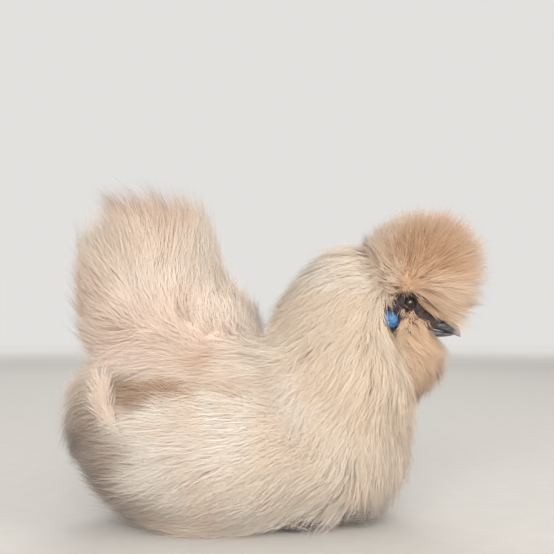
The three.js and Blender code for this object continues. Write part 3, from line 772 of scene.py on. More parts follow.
PRIMARIES = {
    "count": 5, "start": (-64, 50, 60), "end": (-72, 47, 66), "turn": (38, 70), "length": 24, "curl": 8,
    "rise": 5,
}
SECONDARIES = {
    "count": 4, "start": (-16, 56, 64), "end": (-18, 54, 84), "turn": (-4, 4), "length": 44, "curl": 0,
    "rise": -5,
}
QUILL = {"seed": 59, "layer": 0.8, "last": 0.82, "shorten": 0.4, "barbs": 60, "barbed": (0.06, 0.98)}
BARB = {
    "length": 17.0, "swell": (0.45, 1.5, 1.15), "lengths": (0.45, 1.15), "angle": 20, "angles": (0.2, 2.2),
    "out": 0.1, "sweep": 0.35, "width": 0.44, "widths": (0.7, 1.1), "shades": (0, 0.7),
}
QUILL_OUT = np.array((0.1, 1.0, 0.0))


def shafts(tier, side, places):
    """The shafts of one tier, fanned from the wrist to the wing's tip, each a layer out from the one before.
    A shaft runs back, rises from the flank or sinks into it, and curls up by the square of its place."""
    share = np.linspace(0, 1, tier["count"])[:, None]
    start = mix(np.array(tier["start"], float), np.array(tier["end"], float), share)[:, None]
    angle = np.radians(mix(*tier["turn"], share))
    run = places * tier["length"] * mix(1, QUILL["last"], share)
    out = start[..., 1] + QUILL["layer"] * np.arange(tier["count"])[:, None] + tier["rise"] * places
    high = start[..., 2] + run * np.sin(angle) + tier["curl"] * places**2
    back = run * np.cos(angle) * (1 - QUILL["shorten"] * places * (tier["curl"] > 0))
    return aim(start[..., 0] - back, out * side, high)


def quill_lines(side, draw):
    """The centre lines of the barbs on both edges of every shaft, and the shafts that they grow from. Barbs
    are longest near the middle of a shaft, by a parabola, and their outer half leans to the shaft's way."""
    places = np.linspace(*QUILL["barbed"], QUILL["barbs"])
    rachis = np.concatenate([shafts(tier, side, places[None]) for tier in (PRIMARIES, SECONDARIES)])
    along = unit(np.gradient(rachis, axis=1))
    out = np.broadcast_to(QUILL_OUT * (1, side, 1), along.shape)
    edge = unit(np.cross(along, out))
    least, swell, end = BARB["swell"]
    longest = BARB["length"] * (least + swell * places * (end - places))
    size = rachis.shape[:2]
    lines = []
    for way in (1, -1):
        angle = np.radians(BARB["angle"]) * draw.uniform(*BARB["angles"], size)[..., None]
        length = (longest * draw.uniform(*BARB["lengths"], size))[..., None]
        barb = along * np.cos(angle) + edge * way * np.sin(angle)
        barb = unit(barb + out * draw.normal(0, BARB["out"], angle.shape))
        middle = rachis + barb * length * 0.5
        tip = middle + unit(barb + along * BARB["sweep"]) * length * 0.5
        lines.append(np.stack([rachis, middle, tip], 2))
    return np.concatenate(lines, 1), rachis


# Materials

# The root tint is painted shade, laid on the strands near their roots
TINTS = {"root": (0.70, 0.57, 0.46), "dull": (0.84, 0.78, 0.72), "under": (0.8, 0.72, 0.64)}
PUPIL = (0.004, 0.003, 0.003)
EYE_RIM = (0.012, 0.008, 0.009)


class Paint:
    """A material's nodes, with one short call for each kind that her materials use."""

    def __init__(self, name):
        self.material = bpy.data.materials.new(name)
        self.material.use_nodes = True
        self.tree = self.material.node_tree
        self.tree.nodes.clear()
        self.output = self.tree.nodes.new("ShaderNodeOutputMaterial")

    def node(self, kind, inputs=None, **settings):
        made = self.tree.nodes.new(kind)
        for key, value in settings.items():
            setattr(made, key, value)
        for key, value in (inputs or {}).items():
            if isinstance(value, bpy.types.NodeSocket):
                self.tree.links.new(value, made.inputs[key])
            else:
                made.inputs[key].default_value = value
        return made

    def place(self):
        """Object coordinates, which are places in her own frame in metres."""
        return self.node("ShaderNodeTexCoord").outputs["Object"]

    def attribute(self, name, output="Fac"):
        return self.node("ShaderNodeAttribute", attribute_name=name).outputs[output]

    def sum(self, kind, a, b=0.0):
        return self.node("ShaderNodeMath", {0: a, 1: b}, operation=kind).outputs[0]

    def vector(self, kind, a, b):
        made = self.node("ShaderNodeVectorMath", {0: a, 1: b}, operation=kind)
        return made.outputs["Value" if kind == "LENGTH" else "Vector"]

    def scaled(self, a, factor):
        return self.node("ShaderNodeVectorMath", {0: a, "Scale": factor}, operation="SCALE").outputs["Vector"]

    def noise(self, place, scale, detail=3.0, output="Fac"):
        made = self.node("ShaderNodeTexNoise", {"Vector": place, "Scale": scale, "Detail": detail})
        return made.outputs[output]

    def span(self, value, low, high, to_low=0.0, to_high=1.0):
        """A value carried smoothly from one span to another."""
        inputs = {"Value": value, "From Min": low, "From Max": high, "To Min": to_low, "To Max": to_high}
        return self.node("ShaderNodeMapRange", inputs, interpolation_type="SMOOTHSTEP").outputs["Result"]

    def blend(self, a, b, share, kind="MIX"):
        made = self.node("ShaderNodeMix", {"Factor": share}, data_type="RGBA", blend_type=kind)
        for key, value in (("A", a), ("B", b)):
            socket = next(s for s in made.inputs if s.name == key and s.type == "RGBA")
            if isinstance(value, bpy.types.NodeSocket):
                self.tree.links.new(value, socket)
            else:
                socket.default_value = (*value[:3], 1.0)
        return next(s for s in made.outputs if s.type == "RGBA")

    def blob(self, place, centre, radii, soft=0.35):
        """1 inside an egg-shaped patch and 0 outside it, with a soft edge."""
        off = self.vector("SUBTRACT", place, [c * MM for c in centre])
        over = self.vector("DIVIDE", off, [r * MM for r in radii])
        far = self.vector("LENGTH", over, (0, 0, 0))
        return self.span(far, 1 - soft, 1 + soft, 1.0, 0.0)

    def bump(self, height, strength, distance):
        inputs = {"Height": height, "Strength": strength, "Distance": distance}
        return self.node("ShaderNodeBump", inputs).outputs["Normal"]

    def finish(self, colour, roughness, normal=None, translucent=0.0, **constants):
        """The Principled shader, mixed with light that passes through where a share of it is asked for."""
        inputs = {"Base Color": colour, "Roughness": roughness, **constants}
        if not isinstance(colour, bpy.types.NodeSocket):
            inputs["Base Color"] = (*colour[:3], 1.0)
        if normal is not None:
            inputs["Normal"] = normal
        shader = self.node("ShaderNodeBsdfPrincipled", inputs).outputs["BSDF"]
        if translucent:
            through = self.node("ShaderNodeBsdfTranslucent", {"Color": inputs["Base Color"]}).outputs["BSDF"]
            shader = self.node("ShaderNodeMixShader", {0: translucent, 1: shader, 2: through}).outputs[0]
        self.tree.links.new(shader, self.output.inputs["Surface"])
        return self.material


# Patches of colour on skin and plumage alike, a few of them painted shade: a colour, the middle and half
# sizes,
# # the softness and the share
PATCHES = (
    ("straw", (72, 0, 100), (46, 90, 62), 0.6, 0.85),
    ("straw", (30, 0, 40), (34, 90, 26), 0.6, 0.5),
    ("lilac", (-58, 0, 118), (60, 90, 34), 0.5, 0.7),
    ("fawn", (-48, 0, 204), (64, 90, 32), 0.6, 0.8),
    ("fawn", (-112, 0, 144), (22, 90, 40), 0.6, 0.65),
    ("fawn", (-14, 0, 104), (13, 90, 5), 0.6, 0.75),
    # The two grey patches low on the rump are partly her grey down and partly painted shade low on her body
    ("grey", (-85, 0, 46), (28, 90, 34), 0.5, 0.85),
    ("grey", (-62, 0, 14), (38, 90, 14), 0.6, 0.6),
    # Painted shadow: brown, bark and fawn bands along the wing's top edge, where it meets the tail cushion
    # and the flank
    ("brown", (-46, 0, 86), (25, 90, 8.5), 0.5, 1.0),
    ("bark", (-35, 0, 90.5), (11, 90, 4), 0.5, 1.0),
    ("fawn", (2, 0, 88), (44, 90, 5), 0.7, 0.35),
    ("grey", (-80, 0, 84), (9, 90, 14), 0.5, 0.25),
    ("white", (52, 0, 160), (14, 90, 12), 0.6, 0.7),
    ("white", (40, 0, 86), (10, 90, 14), 0.6, 0.6),
    ("tan", (134, 0, 158), (38, 70, 46), 0.5, 0.9),
    ("bark", (112, 0, 170), (25, 70, 18), 0.6, 0.85),
    ("straw", (126, 0, 146), (15, 70, 9), 0.6, 0.55),
    ("tan", (113, 0, 104), (19, 40, 32), 0.4, 0.85),
)


def markings(paint, place, colours):
    """Her colours at a place: cream with soft patches whose edges are broken up by noise. A few of the
    patches are painted shade.
    """
    wander = paint.vector("SUBTRACT", paint.noise(place, 45.0, 3.0, "Color"), (0.5, 0.5, 0.5))
    place = paint.vector("ADD", place, paint.scaled(wander, 0.03))
    colour = paint.blend(colours.cream, colours.white, paint.span(paint.noise(place, 28.0), 0.4, 0.65))
    for key, centre, radii, soft, share in PATCHES:
        mask = paint.sum("MULTIPLY", paint.blob(place, centre, radii, soft), share)
        colour = paint.blend(colour, getattr(colours, key), mask)
    return colour


def plumage_paint(name, colours, painted_root_shade=0.12, tip_light=0.25):
    """Plumage: her markings by a place between the strand's own and its tuft's root, darker at the root by
    painted shade, paler at the tip, and lighter or darker from strand to strand."""
    paint = Paint(name)
    root, own = paint.attribute("root", "Vector"), paint.place()
    place = paint.vector("ADD", paint.scaled(root, 0.4), paint.scaled(own, 0.6))
    colour = markings(paint, place, colours)
    along, shade = paint.attribute("along"), paint.attribute("shade")
    # Painted shade: the strands darken towards their roots, where the plumage shades itself
    deep = paint.blend(colour, TINTS["root"], 1.0, "MULTIPLY")
    colour = paint.blend(colour, deep, paint.span(along, 0.0, 0.7, painted_root_shade, 0.0))
    pale = paint.sum("MULTIPLY", paint.span(along, 0.45, 1.0), tip_light)
    colour = paint.blend(colour, colours.tip, pale)
    dull = paint.blend(colour, TINTS["dull"], 1.0, "MULTIPLY")
    colour = paint.blend(colour, dull, paint.span(shade, 0.1, 0.9, 0.25, 0.0))
    grain = paint.noise(own, 2400.0, 2.0)
    constants = {"Sheen Weight": 0.2, "Sheen Roughness": 0.5, "Specular IOR Level": 0.3}
    rough = paint.span(shade, 0.0, 1.0, 0.85, 0.65)
    return paint.finish(colour, rough, paint.bump(grain, 0.25, 0.0002), 0.5, **constants)


def skin_paint(colours):
    """Skin: her markings, and bare mulberry skin on the face and legs with fine folds and pores."""
    paint = Paint("skin")
    place = paint.place()
    colour = paint.blend(markings(paint, place, colours), TINTS["under"], 1.0, "MULTIPLY")
    face = paint.blob(place, (106, 0, 132), (24, 40, 15), 0.12)
    legs = paint.blob(place, (0, 0, 0), (75, 60, 9), 0.1)
    bare = paint.sum("MAXIMUM", face, legs)
    cloud = paint.span(paint.noise(place, 260.0, 4.0), 0.42, 0.68)
    flesh = paint.blend(colours.mulberry, colours.plum, cloud)
    colour = paint.blend(colour, flesh, bare)
    cells = paint.node("ShaderNodeTexVoronoi", {"Vector": place, "Scale": 900.0}).outputs["Distance"]
    folds = paint.sum("ADD", cells, paint.noise(place, 500.0, 4.0))
    rough = paint.span(paint.noise(place, 700.0), 0.3, 0.7, 0.42, 0.68)
    return paint.finish(colour, rough, paint.bump(folds, 0.6, 0.0006), **{"Specular IOR Level": 0.4})


def horn_paint(name, dark, light, tip=None, tip_at=None):
    """Horn: drawn out along its length in fine streaks, with a pale tip where one is asked for."""
    paint = Paint(name)
    place = paint.place()
    drawn = paint.vector("MULTIPLY", place, (0.25, 1.0, 1.0))
    streak = paint.noise(drawn, 900.0, 5.0)
    cloud = paint.noise(place, 160.0, 3.0)
    colour = paint.blend(dark, light, paint.span(paint.sum("ADD", streak, cloud), 0.75, 1.3))
    if tip:
        colour = paint.blend(colour, tip, paint.blob(place, tip_at, (4.2, 9, 4.2), 0.6))
    rough = paint.span(streak, 0.3, 0.7, 0.26, 0.42)
    constants = {"Coat Weight": 0.25, "Coat Roughness": 0.2}
    return paint.finish(colour, rough, paint.bump(streak, 0.25, 0.0003), **constants)


def lobe_paint(colours):
    """Ear lobe: turquoise skin in small pebbles, with paler clouds."""
    paint = Paint("ear_lobe")
    place = paint.place()
    pebbles = paint.node("ShaderNodeTexVoronoi", {"Vector": place, "Scale": 700.0}).outputs["Distance"]
    cloud = paint.noise(place, 320.0, 3.0)
    colour = paint.blend(colours.turquoise, colours.sky, paint.span(cloud, 0.4, 0.65))
    rough = paint.span(cloud, 0.3, 0.7, 0.38, 0.58)
    constants = {"Subsurface Weight": 0.15, "Subsurface Scale": 0.002}
    return paint.finish(colour, rough, paint.bump(pebbles, 0.5, 0.0008), **constants)


def eye_paint(side, colours):
    """Eye: a black pupil and a dark brown iris with fibres that run outwards, under a clear wet coat."""
    paint = Paint(f"eye_{'left' if side > 0 else 'right'}_glass")
    place = paint.place()
    out = eye_axes(side)[2]
    centre = np.multiply(EYE_AT, (1, side, 1)) + out * EYE_RADIUS
    off = paint.vector("SUBTRACT", place, list(centre * MM))
    far = paint.vector("LENGTH", off, (0, 0, 0))
    way = paint.node("ShaderNodeVectorMath", {0: off}, operation="NORMALIZE").outputs[0]
    fibres = paint.noise(way, 9.0, 4.0)
    iris = paint.blend(colours.iris, colours.amber, paint.span(fibres, 0.4, 0.7))
    colour = paint.blend(PUPIL, iris, paint.span(far, 0.0017, 0.002))
    colour = paint.blend(colour, EYE_RIM, paint.span(far, 0.0032, 0.0038))
    constants = {"Coat Weight": 0.35, "Coat Roughness": 0.02, "Specular IOR Level": 0.25}
    return paint.finish(colour, paint.span(fibres, 0.3, 0.7, 0.08, 0.14), **constants)


# Sizes and colours that a user may change


class HenSizes(bpy.types.PropertyGroup):
    crest_length: FloatProperty(
        name="Crest length", description="Length of the crest's plumage", default=0.029, min=0.01,
        max=0.04, unit="LENGTH",
    )
    fineness: FloatProperty(
        name="Strand width", description="Width of a strand against the usual one", default=1.0, min=0.4,
        max=2.0, subtype="FACTOR",
    )
    face_cuts: IntProperty(
        name="Face cuts", description="How many times the skin's faces are cut on the head", default=3,
        min=1, max=4,
    )
    skin_cell: FloatProperty(
        name="Skin cell", description="Size of the cells that the skin is worked out in", default=0.0022,
        min=0.0015, max=0.004, unit="LENGTH",
    )
    camera_away: FloatProperty(
        name="Camera distance", description="From the camera to the middle of the hen", default=0.5,
        min=0.3, max=2.0, unit="LENGTH",
    )


def colour_property(name, description, default):
    return FloatVectorProperty(
        name=name, description=description, default=default, size=3, min=0, max=1, subtype="COLOR"
    )


class HenColours(bpy.types.PropertyGroup):
    cream: colour_property("Cream", "Main colour of the plumage", (0.90, 0.78, 0.67))
    white: colour_property("White", "Palest plumage", (0.94, 0.88, 0.80))
    tip: colour_property("Tip", "Tips of the strands", (0.95, 0.87, 0.79))
    straw: colour_property("Straw", "Neck and breast", (0.91, 0.77, 0.62))
    lilac: colour_property("Lilac", "Foot of the tail", (0.88, 0.71, 0.61))
    # Fawn is also used for part of the painted shadow band along the top edge of the wings
    fawn: colour_property("Fawn", "Warm shade on the tail and wings", (0.72, 0.50, 0.36))
    # Grey is her grey down, and low on the rump it also carries painted shade
    grey: colour_property("Grey", "Rump", (0.37, 0.27, 0.22))
    # Brown is only used for the painted shadow band along the top edge of the wings
    brown: colour_property("Brown", "Patches above the wings", (0.40, 0.25, 0.15))
    tan: colour_property("Tan", "Crest and beard", (0.80, 0.56, 0.37))
    # Bark is the crest's own colour, and above the wings it is also used for a painted shadow
    bark: colour_property("Bark", "Middle of the crest", (0.46, 0.26, 0.13))
    mulberry: colour_property("Mulberry", "Bare skin", (0.022, 0.014, 0.017))
    plum: colour_property("Plum", "Paler bare skin", (0.060, 0.036, 0.044))
    turquoise: colour_property("Turquoise", "Ear lobes", (0.008, 0.058, 0.16))
    sky: colour_property("Sky", "Paler spots on the ear lobes", (0.032, 0.125, 0.27))
    slate: colour_property("Slate", "Beak", (0.030, 0.030, 0.034))
    steel: colour_property("Steel", "Paler streaks of the beak", (0.10, 0.102, 0.112))
    bone: colour_property("Bone", "Tip of the beak", (0.26, 0.22, 0.20))
    iris: colour_property("Iris", "Dark part of the iris", (0.012, 0.006, 0.004))
    amber: colour_property("Amber", "Fibres of the iris", (0.035, 0.016, 0.009))


def shared_paint(name, make):
    """A material by its name, made the first time that it is asked for."""
    return bpy.data.materials.get(name) or make()


def plumage(context):
    colours = context.scene.hen_colours
    return shared_paint("plumage", lambda: plumage_paint("plumage", colours))


def tan_plumage(context):
    colours = context.scene.hen_colours
    # The crest gets much more painted shade at the roots, which also stands for their own darker brown
    return shared_paint("crest_plumage", lambda: plumage_paint("crest_plumage", colours, 0.6, 0.25))


def coat_of(context, key, **changes):
    """A coat with the user's width of strand, and with other changes."""
    coat = {**PLAIN_COAT, **COATS[key], **changes}
    coat["width"] *= context.scene.hen_sizes.fineness
    return coat


def grow_halves(key, coat, may, banned, paint):
    """Grows a coat as two pieces, one for each side of her."""
    for name, side in SIDES:
        grow(f"{key}_{name}", coat, may, banned, paint, side)


# Operators


SKIN_BOX = ((-104, -70, -4), (142, 70, 190))
HEAD_CUT = {"outside": -4, "half": 2, "floor": 0.1}


class HEN_OT_skin(bpy.types.Operator):
    """Builds the one skin that runs over the body, head and folded legs"""

    bl_idname = "hen.skin"
    bl_label = "Skin"

    def execute(self, context):
        sizes = context.scene.hen_sizes
        corners, quads = net(off_skin, *SKIN_BOX, sizes.skin_cell / MM)
        nodes = ["torso", "neck", "tail", "crest", "beard", "head"]
        nodes += [f"{part}_{side}" for part in ("wing", "leg") for side, _ in SIDES]
        paint = skin_paint(context.scene.hen_colours)
        piece, _ = put("skin", settled(off_skin, corners), quads, (), paint, nodes)
        refine_head(piece.data, sizes.face_cuts)
        return {"FINISHED"}


def refine_head(mesh, cuts):
    """Cuts the faces of the bare head, settles their corners on the skin and folds it in rings round the
    eyes, by a sine of the distance from the lids that fades out."""
    middles = np.zeros(len(mesh.polygons) * 3, np.float32)
    mesh.polygons.foreach_get("center", middles)
    x, y, z = middles.reshape(-1, 3).T / MM
    near = (depth_in(OUTLINES["face"], x, z) > HEAD_CUT["outside"]) & (np.abs(y) > HEAD_CUT["half"])
    mesh.polygons.foreach_set("select", near)
    work = bmesh.new()
    work.from_mesh(mesh)
    edges = {edge for face in work.faces if face.select for edge in face.edges}
    bmesh.ops.subdivide_edges(work, edges=list(edges), cuts=cuts, use_grid_fill=True)
    work.to_mesh(mesh)
    work.free()
    points = np.zeros(len(mesh.vertices) * 3, np.float32)
    mesh.vertices.foreach_get("co", points)
    points = points.reshape(-1, 3).astype(float) / MM
    bare = depth_in(OUTLINES["face"], points[:, 0], points[:, 2]) > HEAD_CUT["outside"]
    face = settled(off_skin, points[bare], 3)
    side = np.where(face[:, 1] > 0, 1, -1)
    reach = np.where(side > 0, lid_place(face, 1)[0], lid_place(face, -1)[0])
    shown = np.exp(-(((reach - WRINKLE["middle"]) / WRINKLE["reach"]) ** 2))
    forward, up = WRINKLE["bend_way"]
    bent = WRINKLE["bend"] * np.sin(face[:, 0] * forward + face[:, 2] * up)
    depth = WRINKLE["deep"] * shown * np.sin(reach * 2 * math.pi / WRINKLE["every"] + bent)
    points[bare] = face + unit(uphill(off_skin, face)) * depth[:, None]
    points[:, 2] = np.maximum(points[:, 2], HEAD_CUT["floor"])
    mesh.vertices.foreach_set("co", (points * MM).astype(np.float32).ravel())
    mesh.polygons.foreach_set("use_smooth", np.ones(len(mesh.polygons), bool))
    mesh.update()


class HEN_OT_crest(bpy.types.Operator):
    """Grows the round crest, whose strands stand out all round"""

    bl_idname = "hen.crest"
    bl_label = "Crest"

    def execute(self, context):
        coat = coat_of(context, "crest", length=crest_length(context.scene.hen_sizes.crest_length / MM))
        paint = tan_plumage(context)
        grow("crest_fluff", coat, in_zone("crest"), over_face, paint)
        return {"FINISHED"}


class HEN_OT_beard(bpy.types.Operator):
    """Grows the beard and the muffs, which fall from the cheeks and chin"""

    bl_idname = "hen.beard"
    bl_label = "Beard"

    def execute(self, context):
        coat = coat_of(context, "beard")
        grow("beard_fluff", coat, in_zone("beard"), over_face, tan_plumage(context))
        return {"FINISHED"}


class HEN_OT_hackle(bpy.types.Operator):
    """Grows the hackle, long strands that fall back over the shoulders"""

    bl_idname = "hen.hackle"
    bl_label = "Hackle"

    def execute(self, context):
        coat = coat_of(context, "neck")
        grow_halves("hackle", coat, in_zone("neck"), over_face, plumage(context))
        return {"FINISHED"}


class HEN_OT_tail(bpy.types.Operator):
    """Grows the tail, a high cushion of plumes that fan up and back"""

    bl_idname = "hen.tail"
    bl_label = "Tail"

    def execute(self, context):
        coat = coat_of(context, "tail")
        grow_halves("tail_fluff", coat, in_zone("tail"), nowhere, plumage(context))
        return {"FINISHED"}


BODY_PARTS = {"breast_fluff": (34, math.inf), "flank_fluff": (-30, 34), "rump_fluff": (-math.inf, -30)}


class HEN_OT_body(bpy.types.Operator):
    """Grows the fluff of the breast, flanks, rump and belly"""

    bl_idname = "hen.body"
    bl_label = "Body fluff"

    def execute(self, context):
        coat, paint = coat_of(context, "body"), plumage(context)
        for part, (rear, front) in BODY_PARTS.items():
            def may(p, rear=rear, front=front):
                return in_zone("torso")(p) & ~on_wing(p) & (p[..., 0] >= rear) & (p[..., 0] < front)

            grow_halves(part, coat, may, nowhere, paint)
        return {"FINISHED"}


class HEN_OT_wings(bpy.types.Operator):
    """Grows the covert fluff of the folded wings and their shredded flight feathers"""

    bl_idname = "hen.wings"
    bl_label = "Wings"

    def execute(self, context):
        coat, paint = coat_of(context, "wing"), plumage(context)
        for name, side in SIDES:
            def may(p, side=side):
                return in_zone("wing")(p) & (p[..., 1] * side > WING_CLEAR["half"])

            grow(f"wing_fluff_{name}", coat, may, nowhere, paint, side)
            self.quills(name, side, paint)
        return {"FINISHED"}

    def quills(self, name, side, paint):
        """The barbs of every quill as threads."""
        draw = np.random.default_rng(QUILL["seed"])
        lines, rachis = quill_lines(side, draw)
        way = unit(np.gradient(lines, axis=2))
        out = np.broadcast_to(QUILL_OUT * (1, side, 1), lines.shape)
        one = unit(np.cross(way, out))
        two = np.cross(way, one)
        width = BARB["width"] * draw.uniform(*BARB["widths"], lines.shape[:2])
        shade = draw.uniform(*BARB["shades"], lines.shape[:2])
        roots = rachis[:, -1]
        patch_at = np.stack([np.linspace(0.1, 0.9, len(roots)), np.full(len(roots), 0.5)], -1)
        piece = f"quill_barbs_{name}"
        threads_mesh(piece, lines, one, two, out, width, shade, roots, patch_at, paint)


FUZZ_ZONE = {"outside": -1.5, "off_lids": 7.5, "half": 4}


class HEN_OT_fuzz(bpy.types.Operator):
    """Grows the short dark bristles on the bare face"""

    bl_idname = "hen.fuzz"
    bl_label = "Face bristles"

    def execute(self, context):
        def may(p):
            x, y, z = np.moveaxis(p, -1, 0)
            eye = np.minimum(*(lid_place(p, side)[0] for _, side in SIDES))
            face = depth_in(OUTLINES["face"], x, z) > FUZZ_ZONE["outside"]
            return face & (eye > FUZZ_ZONE["off_lids"]) & (np.abs(y) > FUZZ_ZONE["half"])

        coat, paint = coat_of(context, "fuzz"), bristle_paint(context.scene.hen_colours)
        grow("face_bristles", coat, may, nowhere, paint)
        return {"FINISHED"}


def bristle_paint(colours):
    """Bristles: dark at the root and grey-brown at the tip."""
    paint = Paint("bristles")
    along, shade = paint.attribute("along"), paint.attribute("shade")
    colour = paint.blend(colours.mulberry, colours.grey, paint.sum("MULTIPLY", along, 0.6))
    colour = paint.blend(colour, colours.plum, paint.span(shade, 0.3, 0.9, 0.0, 0.6))
    return paint.finish(colour, paint.span(shade, 0.0, 1.0, 0.5, 0.7), paint.bump(along, 0.1, 0.0001))


class HEN_OT_eyes(bpy.types.Operator):
    """Builds the two eyes, each with its cornea"""

    bl_idname = "hen.eyes"
    bl_label = "Eyes"

    def execute(self, context):
        for name, side in SIDES:
            points, quads, tris = eye_form(side)
            paint = eye_paint(side, context.scene.hen_colours)
            put(f"eyeball_{name}", points, quads, tris, paint, [f"eye_{name}"])
        return {"FINISHED"}


EYEBALL = {"rings": 30, "around": 48, "cornea": 0.35, "wide": 0.62}


def eye_form(side):
    """An eyeball: a ball whose radius grows near its outward pole by a bell curve, for the cornea."""
    ways = ball_rings(EYEBALL["rings"], EYEBALL["around"])
    bulge = EYEBALL["cornea"] * np.exp(-((np.arccos(ways[..., 2]) / EYEBALL["wide"]) ** 2))
    along, up, out = eye_axes(side)
    rings = (ways * (EYE_RADIUS + bulge)[..., None]) @ np.stack([along, up, out])
    middle = np.multiply(EYE_AT, (1, side, 1))
    pole = middle + out * (EYE_RADIUS + EYEBALL["cornea"])
    return sleeve(middle + rings, pole, middle - out * EYE_RADIUS)


# Beak: seen from the side, each half lies between two lines from the root to the tip
BEAK_LINES = {
    "upper": {
        "top": ((116, 131), (141.6, 130.5), (141.2, 117.6)),
        "under": ((114, 124.5), (131, 121), (140.6, 117.2)),
    },
    "lower": {
        "top": ((114, 124.0), (129, 120.7), (137.2, 119.2)),
        "under": ((113, 119), (128, 115.6), (137.4, 118.6)),
    },
}
BEAK_WIDE = {"upper": 5.9, "lower": 5.0}
BEAK_TAPER = (2.2, 0.62)
BEAK_OVAL = {"narrow": 0.22, "narrow_power": 1.5, "square_power": 0.72}
BEAK_RINGS = {"count": 44, "around": 56, "last": 0.985, "blunt": 0.1}
BEAK_TIP = (140, 0, 119)
NOSTRIL = {"at": (127.2, 126.6), "long": 2.4, "high": 1.0, "deep": 1.1, "slant": -24, "half": 2}


def bend(points, t):
    """A quadratic curve through its end points, as (x, z) at each t."""
    a, b, c = (np.array(p, float) for p in points)
    t = np.asarray(t)[..., None]
    return a * (1 - t) ** 2 + 2 * b * t * (1 - t) + c * t**2


def beak_form(half):
    """One half of the beak: rings from the root to the tip, each an oval between the two lines of its side
    view. The oval of the upper half is square below and narrow above, and the lower half's the other way."""
    t = np.sin(np.linspace(0, BEAK_RINGS["last"], BEAK_RINGS["count"]) * math.pi / 2)
    turn = np.linspace(0, 2 * math.pi, BEAK_RINGS["around"], endpoint=False)
    top, under = bend(BEAK_LINES[half]["top"], t), bend(BEAK_LINES[half]["under"], t)
    middle, reach = (top + under) / 2, (top - under) / 2
    power, root = BEAK_TAPER
    wide = BEAK_WIDE[half] * (1 - t**power) ** root
    high = np.cos(turn)
    sign = 1 if half == "upper" else -1
    narrow = 1 - BEAK_OVAL["narrow"] * np.maximum(high * sign, 0) ** BEAK_OVAL["narrow_power"]
    edge = np.sign(high) * np.abs(high) ** np.where(high * sign < 0, BEAK_OVAL["square_power"], 1.0)
    x = middle[:, 0, None] + reach[:, 0, None] * edge
    z = middle[:, 1, None] + reach[:, 1, None] * edge
    y = wide[:, None] * (np.sin(turn) * narrow)
    rings = aim(x, y, z)
    if half == "upper":
        rings = rings - nostril_dent(rings)
    base = np.array((middle[0, 0], 0.0, middle[0, 1]))
    tip, blunt = bend(BEAK_LINES[half]["top"], 1.0), BEAK_RINGS["blunt"]
    return sleeve(rings, base, np.array((tip[0] + blunt, 0.0, tip[1] - blunt)))


def nostril_dent(rings):
    """How far each nostril pushes the horn in: a bell curve over a slanted slit."""
    slant = math.radians(NOSTRIL["slant"])
    forward, high = (rings[..., axis] - at for axis, at in zip((0, 2), NOSTRIL["at"]))
    along = forward * math.cos(slant) - high * math.sin(slant)
    up = forward * math.sin(slant) + high * math.cos(slant)
    deep = NOSTRIL["deep"] * np.exp(-((along / NOSTRIL["long"]) ** 4) - (up / NOSTRIL["high"]) ** 2)
    deep = deep * (np.abs(rings[..., 1]) > NOSTRIL["half"])
    return aim(0.0, np.sign(rings[..., 1]) * deep, 0.0)


class HEN_OT_beak(bpy.types.Operator):
    """Builds both halves of the beak, with nostrils, and the line of the mouth between them"""

    bl_idname = "hen.beak"
    bl_label = "Beak"

    def execute(self, context):
        colours = context.scene.hen_colours
        paint = horn_paint("beak_horn", colours.slate, colours.steel, colours.bone, BEAK_TIP)
        for half in BEAK_LINES:
            points, quads, tris = beak_form(half)
            put(f"beak_horn_{half}", points, quads, tris, paint, [f"beak_{half}"])
        return {"FINISHED"}


class HEN_OT_lobes(bpy.types.Operator):
    """Builds the two turquoise ear lobes"""

    bl_idname = "hen.lobes"
    bl_label = "Ear lobes"

    def execute(self, context):
        paint = lobe_paint(context.scene.hen_colours)
        for name, side in SIDES:
            form = twin(LOBE["at"], LOBE["radii"], side, LOBE["pitch"])
            ways = ball_rings(26, 44)
            lumps = 1 + 0.05 * np.sin(ways[..., 0] * 9 + 1) * np.sin(ways[..., 2] * 8)
            rings = (ways * lumps[..., None] * form["radii"]) @ form["axes"].T + form["at"]
            poles = [form["at"] + form["axes"][:, 2] * form["radii"][2] * way for way in (1, -1)]
            points, quads, tris = sleeve(rings, *poles)
            put(f"ear_lobe_{name}", points, quads, tris, paint, [f"earlobe_{name}"])
        return {"FINISHED"}


CLAW = {
    "length": 8.5, "radius": 1.7, "gap": 0.3, "root": 0.8, "rings": 14, "around": 16, "last": 0.97,
    "dip": 1.4, "rise": 0.7, "taper": 0.25, "floor": 0.15, "tip_floor": 0.2,
}


def claw_form(toe, side):
    """A claw: rings along a line that dips by the square of its place, round and tapering to a point."""
    way = toe_way(toe, side)
    base = toe_start(toe, side) + way * (toe["length"] + CLAW["gap"] - CLAW["root"])
    across = unit(np.array((-way[1], way[0], 0.0)))
    down = np.cross(across, way)
    t = np.linspace(0, CLAW["last"], CLAW["rings"])
    turn = np.linspace(0, 2 * math.pi, CLAW["around"], endpoint=False)
    dip = CLAW["dip"] * t**2 - CLAW["rise"] * t
    line = base + t[:, None] * way * CLAW["length"] + dip[:, None] * down
    size = CLAW["radius"] * np.sqrt(1 - t) * (1 - CLAW["taper"] * t)
    ring = np.cos(turn)[:, None] * across + np.sin(turn)[:, None] * down
    rings = line[:, None] + ring[None] * size[:, None, None]
    rings[..., 2] = np.maximum(rings[..., 2], CLAW["floor"])
    tip = base + way * CLAW["length"] + (CLAW["dip"] - CLAW["rise"]) * down
    tip[2] = max(tip[2], CLAW["tip_floor"])
    return sleeve(rings, base, tip)


class HEN_OT_claws(bpy.types.Operator):
    """Builds the five claws of each foot"""

    bl_idname = "hen.claws"
    bl_label = "Claws"

    def execute(self, context):
        colours = context.scene.hen_colours
        paint = horn_paint("claw_horn", colours.slate, colours.steel)
        for name, side in SIDES:
            for key, toe in TOES.items():
                points, quads, tris = claw_form(toe, side)
                node = f"claw_{key}_{name}"
                put(f"{node}_horn", points, quads, tris, paint, [node])
        return {"FINISHED"}


